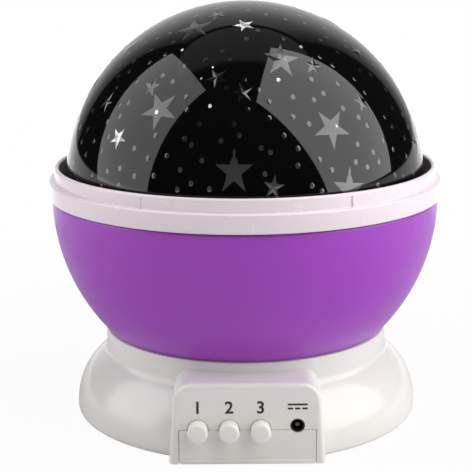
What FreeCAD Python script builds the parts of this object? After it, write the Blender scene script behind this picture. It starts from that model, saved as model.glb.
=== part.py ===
import FreeCAD, Part
import math
import os
import re
import Sketcher

os.makedirs("parts", exist_ok=True)
doc = FreeCAD.newDocument("star_night_light_projector")
V = FreeCAD.Vector
TOUCH = 0.01

# Driving sizes in millimetres and degrees. The front, with the control panel, faces -Y.
SIZES = {
    # Clearances shared by the whole projector
    "loose_gap": 0.3,
    "running_gap": 0.05,
    # Base shell
    "foot_stand": 0.5,
    "base_height": 28.65,
    "neck_radius": 47.2,
    "neck_edge": 0.6,
    "neck_step": 1.2,
    "flare_top_radius": 47.9,
    "flare_top_drop": 8.6,
    "flare_bulge_radius": 21.4,
    "skirt_radius": 57.5,
    "skirt_edge": 1.6,
    "base_wall": 2.0,
    "deck": 2.0,
    "deck_hole_radius": 35.6,
    "deck_lip": 1.2,
    # Control panel housing
    "panel_front": 57.8,
    "panel_depth": 19.3,
    "panel_wall": 2.0,
    "panel_height": 25.5,
    "panel_foot_half_width": 24.0,
    "panel_head_half_width": 22.25,
    "panel_corner": 5.5,
    "panel_edge": 1.6,
    "panel_opening_half_width": 21.0,
    "seam_height": 11.6,
    "seam_gap": 0.15,
    # Buttons and switches
    "button_radius": 3.1,
    "button_hole_gap": 0.15,
    "button_first": -15.1,
    "button_spacing": 9.55,
    "button_stand_out": 4.0,
    "button_edge": 0.7,
    "button_flange_radius": 4.0,
    "button_flange": 1.1,
    "button_stem_radius": 1.5,
    "button_travel": 1.0,
    "switch_side": 6.0,
    "switch_depth": 3.5,
    "switch_plunger_radius": 1.75,
    "switch_plunger": 1.0,
    # Power jack
    "jack_across": 15.2,
    "jack_height": 12.8,
    "jack_hole_radius": 2.25,
    "jack_bore_radius": 1.8,
    "jack_bore_depth": 8.5,
    "jack_nose_radius": 2.1,
    "jack_nose_recess": 0.3,
    "jack_pin_radius": 0.65,
    "jack_pin_recess": 1.0,
    "jack_side": 6.4,
    # Control board
    "board": 1.6,
    "board_front": 47.6,
    "board_half_width": 19.0,
    "board_foot_height": 4.0,
    "board_head_height": 23.3,
    "board_boss_across": 16.4,
    "board_boss_height": 20.9,
    "board_boss_radius": 2.2,
    # Bottom cover and feet
    "cover_radius": 52.6,
    "cover": 2.0,
    "foot_radius": 4.0,
    "foot_recess": 0.9,
    "front_foot_across": 26.7,
    "front_foot_back": -38.1,
    "rear_foot_across": 38.1,
    "rear_foot_back": 26.7,
    # Battery bay and door
    "cell_radius": 5.2,
    "cell_length": 44.5,
    "cell_nub_radius": 1.9,
    "cell_nub": 1.1,
    "cell_spacing": 10.8,
    "cell_first_back": 3.2,
    "cell_floor_gap": 0.4,
    "bay_half_length": 25.0,
    "bay_wall": 1.6,
    "bay_headroom": 0.5,
    "contact": 0.35,
    "contact_width": 8.0,
    "leaf_foot_drop": 3.0,
    "leaf_tip_half_height": 1.0,
    "door": 1.2,
    "door_lip": 1.8,
    "door_pad": 1.0,
    "bay_end_gap": 0.2,
    "door_tab_half_width": 6.0,
    "door_tab_length": 7.6,
    "door_screw_inset": 3.8,
    "door_screw_length": 9.0,
    # Screw sizes
    "screw_head_radius": 2.5,
    "screw_head": 1.6,
    "screw_shank_radius": 1.2,
    "small_head_radius": 1.9,
    "small_head": 1.2,
    "small_shank_radius": 0.9,
    # Posts of the bottom cover's screws, and bosses of the motor plate
    "post_across": 30.6,
    "post_radius": 3.2,
    "post_foot_rise": 2.0,
    "cover_boss_radius": 4.5,
    "cover_screw_length": 13.0,
    "boss_circle_radius": 38.6,
    "boss_radius": 3.0,
    "plate_drop": 5.65,
    "plate": 2.0,
    "plate_radius": 42.0,
    "plate_rim": 2.0,
    "plate_rim_wall": 1.5,
    "plate_screw_length": 6.5,
    # Geared motor and its pinion
    "gear_module": 1.25,
    "gear_pressure_angle": 20.0,
    "ring_gear_count": 48,
    "pinion_count": 12,
    "backlash": 0.2,
    "pinion_addendum": 1.0,
    "pinion_dedendum": 1.45,
    "ring_gear_addendum": 0.75,
    "ring_gear_dedendum": 1.4,
    "gear_bottom_gap": 0.8,
    "gear_web": 2.0,
    "gear_rim": 2.6,
    "motor_shaft_radius": 1.5,
    "shaft_flat": 0.4,
    "motor_offset": 6.0,
    "gearbox_radius": 12.0,
    "gearbox": 7.0,
    "gearbox_ear_reach": 17.5,
    "gearbox_ear": 1.4,
    "gearbox_ear_half_width": 3.2,
    "motor_radius": 10.0,
    "motor": 8.5,
    "motor_cap_radius": 3.0,
    "motor_cap": 1.0,
    # Centre column and the head's bearing
    "column_radius": 6.0,
    "column_bore_radius": 4.3,
    "column_flange_radius": 10.0,
    "column_flange": 2.0,
    "column_screw_circle": 8.1,
    "column_top_height": 62.0,
    "washer_radius": 9.0,
    "washer": 0.8,
    "bush_wall": 1.15,
    "bush_length": 8.9,
    "hub_wall": 1.8,
    "clip": 0.7,
    "clip_radius": 9.0,
    "clip_groove_depth": 0.7,
    "clip_mouth_share": 0.8,
    "hub_plate_radius": 13.3,
    "hub_plate": 2.0,
    "gear_screw_circle": 11.3,
    "gear_screw_length": 4.8,
    "gear_window_circle": 21.3,
    "gear_window_radius": 5.0,
    # Lamp on top of the column
    "holder_radius": 17.0,
    "holder": 2.0,
    "holder_sleeve": 6.0,
    "holder_sleeve_wall": 2.0,
    "lamp_boss_across": 11.0,
    "lamp_boss_radius": 2.2,
    "lamp_boss": 2.0,
    "lamp_board_radius": 14.5,
    "lamp_radius": 2.5,
    "lamp_barrel": 3.2,
    "lamp_flange": 0.8,
    "lamp_across": 5.0,
    "lens_radius": 16.6,
    "lens_wall": 1.2,
    "lens_skirt": 6.0,
    "lens_crown": 9.0,
    # Bowl
    "head_gap": 0.35,
    "bowl_wall": 2.0,
    "bowl_inset": 1.0,
    "bowl_depth": 43.9,
    "bowl_centre_drop": 0.3,
    "bowl_edge": 0.6,
    "bowl_ledge_drop": 2.9,
    "bowl_ledge_width": 3.3,
    "bowl_ledge": 0.9,
    "bowl_bracket_drop": 4.0,
    "bowl_rib_half_width": 0.75,
    "bowl_rib": 6.0,
    "bowl_rib_start": 16.0,
    # Rim ring
    "rim_groove": 0.4,
    "rim_ledge_width": 1.9,
    "rim_wall": 1.6,
    "rim_band": 5.9,
    "rim_height": 10.2,
    "rim_edge": 0.5,
    "rim_shelf": 1.8,
    "rim_shelf_gap": 0.4,
    "rim_spigot_wall": 1.3,
    "rim_spigot_gap": 0.2,
    "rim_rib_half_width": 0.45,
    "rim_rib_stand_out": 0.3,
    "rim_rib_inset": 0.8,
    # Light tray
    "tray": 1.5,
    "tray_hole_radius": 18.6,
    "tray_floor_radius": 25.0,
    "tray_depth": 8.0,
    "tray_flange_width": 4.2,
    # Star dome
    "dome_radius": 59.3,
    "dome_gap": 2.0,
    "dome_rise": 4.0,
    "dome_wall": 1.8,
    "dome_flange": 2.0,
    "star_depth": 0.5,
    "large_star_radius": 5.0,
    "small_star_radius": 2.5,
    "star_waist": 0.52,
    # Leads inside
    "lead_radius": 0.8,
    "lead_bay_gap": 0.3,
    "lead_bow": 2.0,
    "lead_run_out": 8.0,
    "lamp_lead_rise": 9.0,
    "lamp_lead_beside": 3.0,
    "motor_lead_reach": 5.0,
}

# Heights and radii that follow from the driving sizes
DERIVED = {
    "base_top": "foot_stand + base_height",
    "deck_underside": "base_top - deck",
    "flare_top_height": "base_top - flare_top_drop",
    "skirt_widest_height": "foot_stand + skirt_edge",
    "panel_top": "foot_stand + panel_height",
    "panel_inner": "panel_front - panel_wall",
    "button_hole_radius": "button_radius + button_hole_gap",
    "cover_top": "foot_stand + cover",
    "plate_top": "deck_underside - plate_drop",
    "plate_underside": "plate_top - plate",
    "flange_top": "plate_top + column_flange",
    "washer_top": "flange_top + washer",
    "bush_radius": "column_radius + running_gap + bush_wall",
    "bush_foot": "washer_top + 2 * running_gap",
    "bush_top": "bush_foot + bush_length",
    "hub_radius": "bush_radius + hub_wall",
    "bowl_foot": "base_top + head_gap",
    "bowl_floor_top": "bowl_foot + bowl_wall",
    "web_foot": "bowl_foot - gear_web",
    "gear_foot": "plate_top + gear_bottom_gap",
    "gear_radius": "ring_gear_count * gear_module / 2",
    "pinion_pitch_radius": "pinion_count * gear_module / 2",
    "pinion_distance": "gear_radius - pinion_pitch_radius",
    "bowl_top": "bowl_foot + bowl_depth",
    "bowl_centre": "bowl_top - bowl_centre_drop",
    "ledge_top": "bowl_top - bowl_ledge_drop",
    "rim_inner_radius": "dome_radius + dome_gap",
    "rim_upper_radius": "rim_inner_radius + rim_wall",
    "rim_radius": "rim_upper_radius + rim_ledge_width",
    "rim_spigot_radius": "rim_inner_radius + rim_spigot_wall",
    "rim_foot": "bowl_top + rim_groove",
    "bowl_radius": "rim_radius - bowl_inset",
    "bowl_inner_radius": "bowl_radius - bowl_wall",
    "bowl_rebate_radius": "rim_spigot_radius + rim_spigot_gap",
    "tray_top": "ledge_top + tray",
    "dome_flange_top": "tray_top + dome_flange",
    "shelf_foot": "dome_flange_top + rim_spigot_gap",
    "shelf_radius": "dome_radius + rim_shelf_gap",
    "seated_radius": "rim_inner_radius - loose_gap",
    "dome_centre": "bowl_top + dome_rise",
    "clip_foot": "bush_top + 3 * running_gap",
    "holder_top": "column_top_height + holder",
    "lamp_board_foot": "holder_top + lamp_boss",
    "lamp_board_top": "lamp_board_foot + board",
    "cell_height": "cover_top + cell_floor_gap + cell_radius",
    "bay_front": "cell_first_back - cell_spacing / 2 - bay_end_gap",
    "bay_rear": "cell_first_back + 3.5 * cell_spacing + bay_end_gap",
    "bay_ceiling": "cell_height + cell_radius + bay_headroom",
    "bay_top": "bay_ceiling + bay_wall",
    "opening_half_length": "bay_half_length - contact * 2",
    "door_half_length": "opening_half_length + door_lip",
    "door_top": "foot_stand + door",
    "door_screw_back": "bay_rear + door_lip + door_screw_inset",
    "door_boss_top": "cover_top + door_screw_length - screw_head",
    "motor_back": "motor_offset - pinion_distance",
    "gearbox_foot": "plate_underside - gearbox",
    "motor_foot": "gearbox_foot - motor",
    "board_rear": "board_front - board",
    "switch_front": "board_front + switch_depth",
    "plunger_front": "switch_front + switch_plunger",
    "stem_end": "plunger_front + button_travel + running_gap * 2",
    "post_foot": "cover_top + post_foot_rise",
}


def bound(text):
    """Turn the plain words of a size formula into references to the sheet."""

    def word(found):
        name = found[0]
        if name in DERIVED:
            return "(" + bound(DERIVED[name]) + ")"
        return "Sizes." + name if name in SIZES else name

    return re.sub(r"[a-z][a-z_]*", word, str(text))


sheet = doc.addObject("Spreadsheet::Sheet", "Sizes")
for row, (alias, size) in enumerate(SIZES.items(), start=1):
    sheet.set(f"A{row}", alias)
    sheet.set(f"B{row}", str(size))
    sheet.setAlias(f"B{row}", alias)
doc.recompute()


def size(text):
    """The present number of a size formula."""
    return float(sheet.evalExpression(bound(text)))


# Bodies, sketches and features
def new_body(label):
    made = doc.addObject("PartDesign::Body", label)
    made.Label = label
    return made


def new_sketch(body, plane, lift="0"):
    """A sketch on one of the body's own planes, lifted along the plane's normal."""
    made = body.newObject("Sketcher::SketchObject", body.Name + "_sketch")
    support = next(item for item in body.Origin.OriginFeatures if item.Role == plane)
    made.AttachmentSupport = [(support, "")]
    made.MapMode = "FlatFace"
    made.setExpression("AttachmentOffset.Base.z", bound(lift))
    return made


def pin_down(sketch, geometry, point, across, up):
    """Tie one point of a sketch to its two formulas."""
    for kind, text in (("DistanceX", across), ("DistanceY", up)):
        index = sketch.addConstraint(Sketcher.Constraint(kind, -1, 1, geometry, point, size(text)))
        sketch.setExpression(f"Constraints[{index}]", bound(text))


def outline(sketch, corners):
    """Draw a closed outline. A third entry in a corner is the radius of the arc that leaves it:
    above 0 it bulges to the right of the way along, and with a leading minus to the left."""
    places = [V(size(corner[0]), size(corner[1]), 0) for corner in corners]
    joints = []
    for index, corner in enumerate(corners):
        start, end = places[index], places[(index + 1) % len(corners)]
        if len(corner) == 2:
            made = sketch.addGeometry(Part.LineSegment(start, end), False)
            joints.append((made, 1, 2))
            continue
        left = corner[2].startswith("-")
        radius_text = corner[2].lstrip("-")
        radius = size(radius_text)
        if left:
            start, end = end, start
        chord = end - start
        reach = math.sqrt(max(radius**2 - chord.Length**2 / 4, 0))
        centre = (start + end) / 2 + V(-chord.y, chord.x, 0) / chord.Length * reach
        first = math.atan2(start.y - centre.y, start.x - centre.x)
        last = math.atan2(end.y - centre.y, end.x - centre.x)
        if last < first:
            last += 2 * math.pi
        arc = Part.ArcOfCircle(Part.Circle(centre, V(0, 0, 1), radius), first, last)
        made = sketch.addGeometry(arc, False)
        joints.append((made, 2, 1) if left else (made, 1, 2))
        number = sketch.addConstraint(Sketcher.Constraint("Radius", made, radius))
        sketch.setExpression(f"Constraints[{number}]", bound(radius_text))
    for index, (made, start, end) in enumerate(joints):
        follower, its_start, _ = joints[(index + 1) % len(joints)]
        sketch.addConstraint(Sketcher.Constraint("Coincident", made, end, follower, its_start))
        pin_down(sketch, made, start, *corners[index][:2])


def circle(sketch, across, up, radius):
    made = sketch.addGeometry(Part.Circle(V(size(across), size(up), 0), V(0, 0, 1), size(radius)), False)
    pin_down(sketch, made, 3, across, up)
    number = sketch.addConstraint(Sketcher.Constraint("Radius", made, size(radius)))
    sketch.setExpression(f"Constraints[{number}]", bound(radius))


def rectangle(sketch, left, low, right, high):
    outline(sketch, [(left, low), (right, low), (right, high), (left, high)])


def feature(body, kind, sketch, length=None, backwards=False, symmetric=False):
    """Pad, Pocket, Revolution or Groove of a sketch."""
    made = body.newObject("PartDesign::" + kind, body.Name + "_" + kind.lower())
    made.Profile = sketch
    if length is None:
        made.ReferenceAxis = (sketch, ["V_Axis"])
        made.Angle = 360
    else:
        made.setExpression("Length", bound(length))
        made.Reversed = backwards
        made.SideType = "Symmetric" if symmetric else "One side"
    body.Tip = made
    return made


def turned(body, corners, kind="Revolution"):
    """Turn an outline of radius and height about the upright axis."""
    sketch = new_sketch(body, "XZ_Plane")
    outline(sketch, corners)
    return feature(body, kind, sketch)


def around(body, original, count):
    """Repeat a feature evenly about the upright axis."""
    made = body.newObject("PartDesign::PolarPattern", body.Name + "_pattern")
    made.Originals = [original]
    made.Axis = (next(item for item in body.Origin.OriginFeatures if item.Role == "Z_Axis"), [""])
    made.Angle = 360
    made.Occurrences = count
    body.Tip = made
    return made


# Simple solids and booleans
def place(made, across, back, up):
    for axis, text in zip("xyz", (across, back, up)):
        made.setExpression("Placement.Base." + axis, bound(text))


def block(label, low, high):
    made = doc.addObject("Part::Box", label)
    for name, start, end in zip(("Length", "Width", "Height"), low, high):
        made.setExpression(name, bound(f"({end}) - ({start})"))
    place(made, *low)
    return made


TURNS = {
    "up": FreeCAD.Rotation(),
    "down": FreeCAD.Rotation(V(1, 0, 0), 180),
    "front": FreeCAD.Rotation(V(1, 0, 0), 90),
    "right": FreeCAD.Rotation(V(0, 1, 0), 90),
    "left": FreeCAD.Rotation(V(0, 1, 0), -90),
}


def rod(label, radius, length, foot, way="up"):
    made = doc.addObject("Part::Cylinder", label)
    made.setExpression("Radius", bound(radius))
    made.setExpression("Height", bound(length))
    made.Placement = FreeCAD.Placement(V(), TURNS[way])
    place(made, *foot)
    return made


def joined(label, *pieces):
    made = doc.addObject("Part::MultiFuse", label)
    made.Shapes = list(pieces)
    made.Label = label
    return made


def cut(label, base, *tools):
    made = doc.addObject("Part::Cut", label)
    made.Base = base
    made.Tool = tools[0] if len(tools) == 1 else joined(label + "_tools", *tools)
    made.Label = label
    return made


def group(label, pieces):
    made = doc.addObject("Part::Compound", label)
    made.Links = list(pieces)
    made.Label = label
    return made


HEAD_SKIRT_SHARE = 0.4
TIP_TAPER_SHARE = 0.6


def screws(label, places, way, head_radius, head, shank_radius, length):
    """Round-headed screws. A place is the middle of the face that the head bears on."""
    head_reach, head_rise = size(head_radius), size(head)
    shank, tip = size(shank_radius), size(length)
    skirt = head_rise * HEAD_SKIRT_SHARE
    ball = (head_reach**2 + (head_rise - skirt) ** 2) / (2 * (head_rise - skirt))
    lean = math.asin(head_reach / ball) / 2
    crown_middle = V(ball * math.sin(lean), 0, ball - head_rise - ball * math.cos(lean))
    crown = Part.Arc(V(head_reach, 0, -skirt), crown_middle, V(0, 0, -head_rise)).toShape()
    taper = shank * TIP_TAPER_SHARE
    corners = [V(0, 0, tip), V(shank - taper, 0, tip), V(shank, 0, tip - taper), V(shank, 0, 0),
               V(head_reach, 0, 0), V(head_reach, 0, -skirt)]
    side = Part.Wire(Part.makePolygon(corners).Edges + [crown])
    one = Part.Solid(Part.Shell(side.revolve(V(0, 0, 0), V(0, 0, 1), 360).Faces))
    if one.Volume < 0:
        one.reverse()
    copies = []
    for across, back, up in places:
        copy = one.copy()
        copy.Placement = FreeCAD.Placement(V(size(across), size(back), size(up)), TURNS[way])
        copies.append(copy)
    made = doc.addObject("Part::Feature", label)
    made.Shape = Part.makeCompound(copies)
    return made


def tooth_outline(count, tip, root, width):
    """Closed outline of involute teeth round the axis, the first tooth pointing to the front.
    The width is measured along the pitch circle."""
    module, pressure = size("gear_module"), math.radians(size("gear_pressure_angle"))
    pitch_radius = count * module / 2
    base_radius = pitch_radius * math.cos(pressure)

    def half_angle(radius):
        slope = math.acos(min(base_radius / radius, 1.0))
        return width / (2 * pitch_radius) + (math.tan(pressure) - pressure) - (math.tan(slope) - slope)

    def spot(radius, angle):
        return V(radius * math.sin(angle), -radius * math.cos(angle), 0)

    low = max(root, base_radius)
    flank = [low, (low + tip) / 2, tip]
    step = 2 * math.pi / count
    edges = []
    for tooth in range(count):
        middle = tooth * step
        rising = [spot(radius, middle - half_angle(radius)) for radius in flank]
        falling = [spot(radius, middle + half_angle(radius)) for radius in reversed(flank)]
        foot_start = spot(root, middle - half_angle(low))
        foot_end = spot(root, middle + half_angle(low))
        next_foot = spot(root, middle + step - half_angle(low))
        if low > root:
            edges.append(Part.LineSegment(foot_start, rising[0]).toShape())
        edges.append(Part.Arc(*rising).toShape())
        edges.append(Part.Arc(rising[2], spot(tip, middle), falling[0]).toShape())
        edges.append(Part.Arc(*falling).toShape())
        if low > root:
            edges.append(Part.LineSegment(falling[2], foot_end).toShape())
        edges.append(Part.Arc(foot_end, spot(root, middle + step / 2), next_foot).toShape())
    return Part.Wire(edges)


BEND_SETBACK_SHARE = 0.45


def lead(label, stops):
    """A round lead through straight runs and tangent arcs."""
    stops = [V(*(size(text) for text in stop)) for stop in stops]
    edges, start = [], stops[0]
    for before, corner, after in zip(stops, stops[1:], stops[2:]):
        inward, outward = (corner - before).normalize(), (after - corner).normalize()
        half_turn = inward.getAngle(outward) / 2
        setback = BEND_SETBACK_SHARE * min((corner - before).Length, (after - corner).Length)
        radius = setback / math.tan(half_turn)
        arc_start, arc_end = corner - inward * setback, corner + outward * setback
        middle = corner + (outward - inward).normalize() * (radius / math.cos(half_turn) - radius)
        edges.append(Part.LineSegment(start, arc_start).toShape())
        edges.append(Part.Arc(arc_start, middle, arc_end).toShape())
        start = arc_end
        print(label, "bend radius", round(radius, 2))
    edges.append(Part.LineSegment(start, stops[-1]).toShape())
    path = Part.Wire(edges)
    ring = Part.Wire(Part.Circle(stops[0], stops[1] - stops[0], size("lead_radius")).toShape())
    made = doc.addObject("Part::Feature", label)
    made.Shape = path.makePipeShell([ring], True, False)
    swept = math.pi * size("lead_radius") ** 2 * path.Length
    if abs(made.Shape.Volume / swept - 1) > 0.02:
        raise ValueError(label + " is not a clean tube")
    return made


# Bowl: a ball cut flat at its foot, with a stepped rim, an inner ledge and floor ribs
bowl = new_body("bowl")
turned(bowl, [
    ("hub_radius + 2 * running_gap", "bowl_foot"),
    ("sqrt(bowl_radius^2 - (bowl_centre - bowl_foot)^2)", "bowl_foot", "bowl_radius"),
    ("sqrt(bowl_radius^2 - (bowl_centre - bowl_top + bowl_edge)^2)", "bowl_top - bowl_edge", "bowl_edge"),
    ("bowl_radius - bowl_edge", "bowl_top"),
    ("bowl_rebate_radius", "bowl_top"),
    ("bowl_rebate_radius", "ledge_top"),
    ("bowl_inner_radius - bowl_ledge_width", "ledge_top"),
    ("bowl_inner_radius - bowl_ledge_width", "ledge_top - bowl_ledge"),
    ("sqrt(bowl_inner_radius^2 - (bowl_centre - ledge_top + bowl_bracket_drop)^2)",
     "ledge_top - bowl_bracket_drop", "-bowl_inner_radius"),
    ("sqrt(bowl_inner_radius^2 - (bowl_centre - bowl_floor_top)^2)", "bowl_floor_top"),
    ("hub_radius + 2 * running_gap", "bowl_floor_top"),
])
rib_sketch = new_sketch(bowl, "XZ_Plane")
mid_wall = "(bowl_inner_radius + bowl_wall / 2)"
outline(rib_sketch, [
    ("bowl_rib_start", "bowl_foot + bowl_wall / 2"),
    (f"sqrt({mid_wall}^2 - (bowl_centre - bowl_foot - bowl_wall / 2)^2)", "bowl_foot + bowl_wall / 2"),
    (f"sqrt({mid_wall}^2 - (bowl_centre - bowl_floor_top - bowl_rib)^2)", "bowl_floor_top + bowl_rib"),
    ("bowl_rib_start + bowl_rib", "bowl_floor_top + bowl_rib"),
    ("bowl_rib_start", "bowl_floor_top + bowl_rib / 4"),
])
rib = feature(bowl, "Pad", rib_sketch, "2 * bowl_rib_half_width", symmetric=True)
around(bowl, rib, 6)
hole_sketch = new_sketch(bowl, "XY_Plane", "bowl_floor_top")
circle(hole_sketch, "gear_screw_circle", "0", "screw_shank_radius + running_gap")
hole = feature(bowl, "Pocket", hole_sketch, "bowl_wall")
around(bowl, hole, 3)

# Rim ring: band, ledge and lip outside, a shelf over the dome's flange and a spigot into the bowl
rim_ring = new_body("rim_ring")
turned(rim_ring, [
    ("rim_inner_radius", "ledge_top + rim_spigot_gap"),
    ("rim_spigot_radius", "ledge_top + rim_spigot_gap"),
    ("rim_spigot_radius", "rim_foot"),
    ("rim_radius - rim_edge", "rim_foot", "rim_edge"),
    ("rim_radius", "rim_foot + rim_edge"),
    ("rim_radius", "rim_foot + rim_band - rim_edge", "rim_edge"),
    ("rim_radius - rim_edge", "rim_foot + rim_band"),
    ("rim_upper_radius", "rim_foot + rim_band"),
    ("rim_upper_radius", "rim_foot + rim_height - rim_wall / 2", "rim_wall / 2"),
    ("rim_upper_radius - rim_wall / 2", "rim_foot + rim_height", "rim_wall / 2"),
    ("rim_inner_radius", "rim_foot + rim_height - rim_wall / 2"),
    ("rim_inner_radius", "shelf_foot + rim_shelf"),
    ("shelf_radius", "shelf_foot + rim_shelf"),
    ("shelf_radius", "shelf_foot"),
    ("rim_inner_radius", "shelf_foot"),
])
rim_rib_sketch = new_sketch(rim_ring, "XY_Plane", "rim_foot + rim_band - rim_edge")
rectangle(rim_rib_sketch, "rim_upper_radius - rim_wall / 2", "-rim_rib_half_width",
          "rim_upper_radius + rim_rib_stand_out", "rim_rib_half_width")
rim_rib = feature(rim_ring, "Pad", rim_rib_sketch, "rim_height - rim_band + rim_edge - rim_rib_inset")
around(rim_ring, rim_rib, 6)

# Light tray: a pale dish that lies on the bowl's ledge, under the dome's flange
light_tray = new_body("light_tray")
turned(light_tray, [
    ("tray_hole_radius", "tray_top - tray_depth - tray"),
    ("tray_floor_radius", "tray_top - tray_depth - tray"),
    ("seated_radius - tray_flange_width", "ledge_top"),
    ("seated_radius", "ledge_top"),
    ("seated_radius", "tray_top"),
    ("seated_radius - tray_flange_width - tray / 2", "tray_top"),
    ("tray_floor_radius - tray / 2", "tray_top - tray_depth"),
    ("tray_hole_radius", "tray_top - tray_depth"),
])

# Star dome: a thin blown shell whose windows are shallow star and dot recesses
dome_blank = new_body("dome_blank")
turned(dome_blank, [
    ("dome_radius - dome_wall", "tray_top"),
    ("seated_radius", "tray_top"),
    ("seated_radius", "dome_flange_top"),
    ("dome_radius", "dome_flange_top"),
    ("dome_radius", "dome_centre", "dome_radius"),
    ("0", "dome_centre + dome_radius"),
    ("0", "dome_centre + dome_radius - dome_wall", "-(dome_radius - dome_wall)"),
    ("dome_radius - dome_wall", "dome_centre"),
])
# Stars: degrees to the right of the front, degrees above the dome's equator, turn in its own plane
LARGE_STARS = [(-3.5, 13.3, 0), (-30, 30.4, 20), (28.2, 24.6, 40), (15.6, 47.8, 12), (-33.6, 61.5, 30),
               (31.2, 6.4, 8)]
SMALL_STARS = [(-36.7, 37.4, 0), (-43.9, 20.7, 30), (-56.7, 30.7, 15), (-0.4, 64.2, 50), (29.1, 44.9, 20),
               (44, 31.4, 0), (-10.9, 41.5, 40), (7.8, 8.8, 10), (-25.1, 70.2, 25), (-1.2, 36.5, 60)]
# The sides and the back go on in the same rhythm
for number in range(9):
    LARGE_STARS.append((72 + 27 * number, 14 + 18 * (number % 3), 23 * number))
    SMALL_STARS.append((63 + 27 * number, 34 + 14 * ((number + 1) % 3), 31 * number))
star_prisms = []
for stars, reach in ((LARGE_STARS, "large_star_radius"), (SMALL_STARS, "small_star_radius")):
    tip, waist = size(reach), size(reach) * size("star_waist")
    for aside, above, turn in stars:
        corners = []
        for point in range(10):
            angle = math.radians(turn + 36 * point)
            radius = tip if point % 2 == 0 else waist
            corners.append(V(radius * math.sin(angle), radius * math.cos(angle), 0))
        face = Part.Face(Part.makePolygon(corners + corners[:1]))
        prism = face.extrude(V(0, 0, size("star_depth") + tip))
        facing = FreeCAD.Rotation(V(0, 0, 1), aside).multiply(FreeCAD.Rotation(V(1, 0, 0), 90 - above))
        seat = facing.multVec(V(0, 0, size("dome_radius - star_depth")))
        prism.Placement = FreeCAD.Placement(seat + V(0, 0, size("dome_centre")), facing)
        star_prisms.append(prism)
star_windows = doc.addObject("Part::Feature", "star_windows")
star_windows.Shape = Part.makeCompound(star_prisms)
star_dome = cut("star_dome", dome_blank, star_windows)

# Turntable gear: hub, web and an internal toothed rim under the bowl
gear_blank = new_body("gear_blank")
turned(gear_blank, [
    ("bush_radius", "bush_foot + 2 * running_gap"),
    ("hub_radius", "bush_foot + 2 * running_gap"),
    ("hub_radius", "web_foot - hub_plate"),
    ("hub_plate_radius", "web_foot - hub_plate"),
    ("hub_plate_radius", "web_foot"),
    ("gear_radius + ring_gear_dedendum + gear_rim", "web_foot"),
    ("gear_radius + ring_gear_dedendum + gear_rim", "bowl_foot"),
    ("hub_radius", "bowl_foot"),
    ("hub_radius", "bush_top - 2 * running_gap"),
    ("bush_radius", "bush_top - 2 * running_gap"),
])
pilot_sketch = new_sketch(gear_blank, "XY_Plane", "bowl_foot")
circle(pilot_sketch, "gear_screw_circle", "0", "screw_shank_radius")
pilot = feature(gear_blank, "Pocket", pilot_sketch, "gear_screw_length - bowl_wall")
around(gear_blank, pilot, 3)
window_sketch = new_sketch(gear_blank, "XY_Plane", "bowl_foot")
circle(window_sketch, "0", "gear_window_circle", "gear_window_radius")
window = feature(gear_blank, "Pocket", window_sketch, "gear_web")
around(gear_blank, window, 6)
gear_pitch = size("gear_module") * math.pi
ring_teeth = doc.addObject("Part::Feature", "ring_teeth")
gear_rim_radius = size("gear_radius + ring_gear_dedendum + gear_rim")
rim_circle = Part.Wire(Part.Circle(V(), V(0, 0, 1), gear_rim_radius).toShape())
ring_spaces = tooth_outline(int(size("ring_gear_count")), size("gear_radius + ring_gear_dedendum"),
                            size("gear_radius - ring_gear_addendum"), (gear_pitch + size("backlash")) / 2)
ring_face = Part.Face(rim_circle).cut(Part.Face(ring_spaces))
ring_teeth.Shape = ring_face.extrude(V(0, 0, size("web_foot - gear_foot")))
ring_teeth.Placement = FreeCAD.Placement(V(0, 0, size("gear_foot")), FreeCAD.Rotation())
turntable_gear = joined("turntable_gear", gear_blank, ring_teeth)

hub_bush = new_body("hub_bush")
turned(hub_bush, [
    ("column_radius + running_gap", "bush_foot"),
    ("bush_radius", "bush_foot"),
    ("bush_radius", "bush_top"),
    ("column_radius + running_gap", "bush_top"),
])
gear_screws = screws("gear_screws", [
    (f"gear_screw_circle * cos({turn})", f"gear_screw_circle * sin({turn})", "bowl_floor_top")
    for turn in (0, 120, 240)
], "down", "small_head_radius", "small_head", "screw_shank_radius", "gear_screw_length")

# Drive pinion on its flatted shaft
shaft_outline = [
    ("-sqrt(motor_shaft_radius^2 - (motor_shaft_radius - shaft_flat)^2)",
     "motor_shaft_radius - shaft_flat - pinion_distance", "motor_shaft_radius"),
    ("0", "-motor_shaft_radius - pinion_distance", "motor_shaft_radius"),
    ("sqrt(motor_shaft_radius^2 - (motor_shaft_radius - shaft_flat)^2)",
     "motor_shaft_radius - shaft_flat - pinion_distance"),
]
motor_shaft = new_body("motor_shaft")
shaft_sketch = new_sketch(motor_shaft, "XY_Plane", "gearbox_foot + gearbox / 2")
outline(shaft_sketch, shaft_outline)
feature(motor_shaft, "Pad", shaft_sketch, "web_foot - 4 * loose_gap - gearbox_foot - gearbox / 2")
pinion_teeth = doc.addObject("Part::Feature", "pinion_teeth")
pinion_wire = tooth_outline(int(size("pinion_count")), size("pinion_pitch_radius + pinion_addendum"),
                            size("pinion_pitch_radius - pinion_dedendum"),
                            (gear_pitch - size("backlash")) / 2)
pinion_height = size("web_foot - loose_gap - plate_top - loose_gap")
pinion_teeth.Shape = Part.Face(pinion_wire).extrude(V(0, 0, pinion_height))
pinion_teeth.Placement = FreeCAD.Placement(V(0, -size("pinion_distance"), size("plate_top + loose_gap")),
                                           FreeCAD.Rotation())
drive_pinion = cut("drive_pinion", pinion_teeth, motor_shaft)

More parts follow.
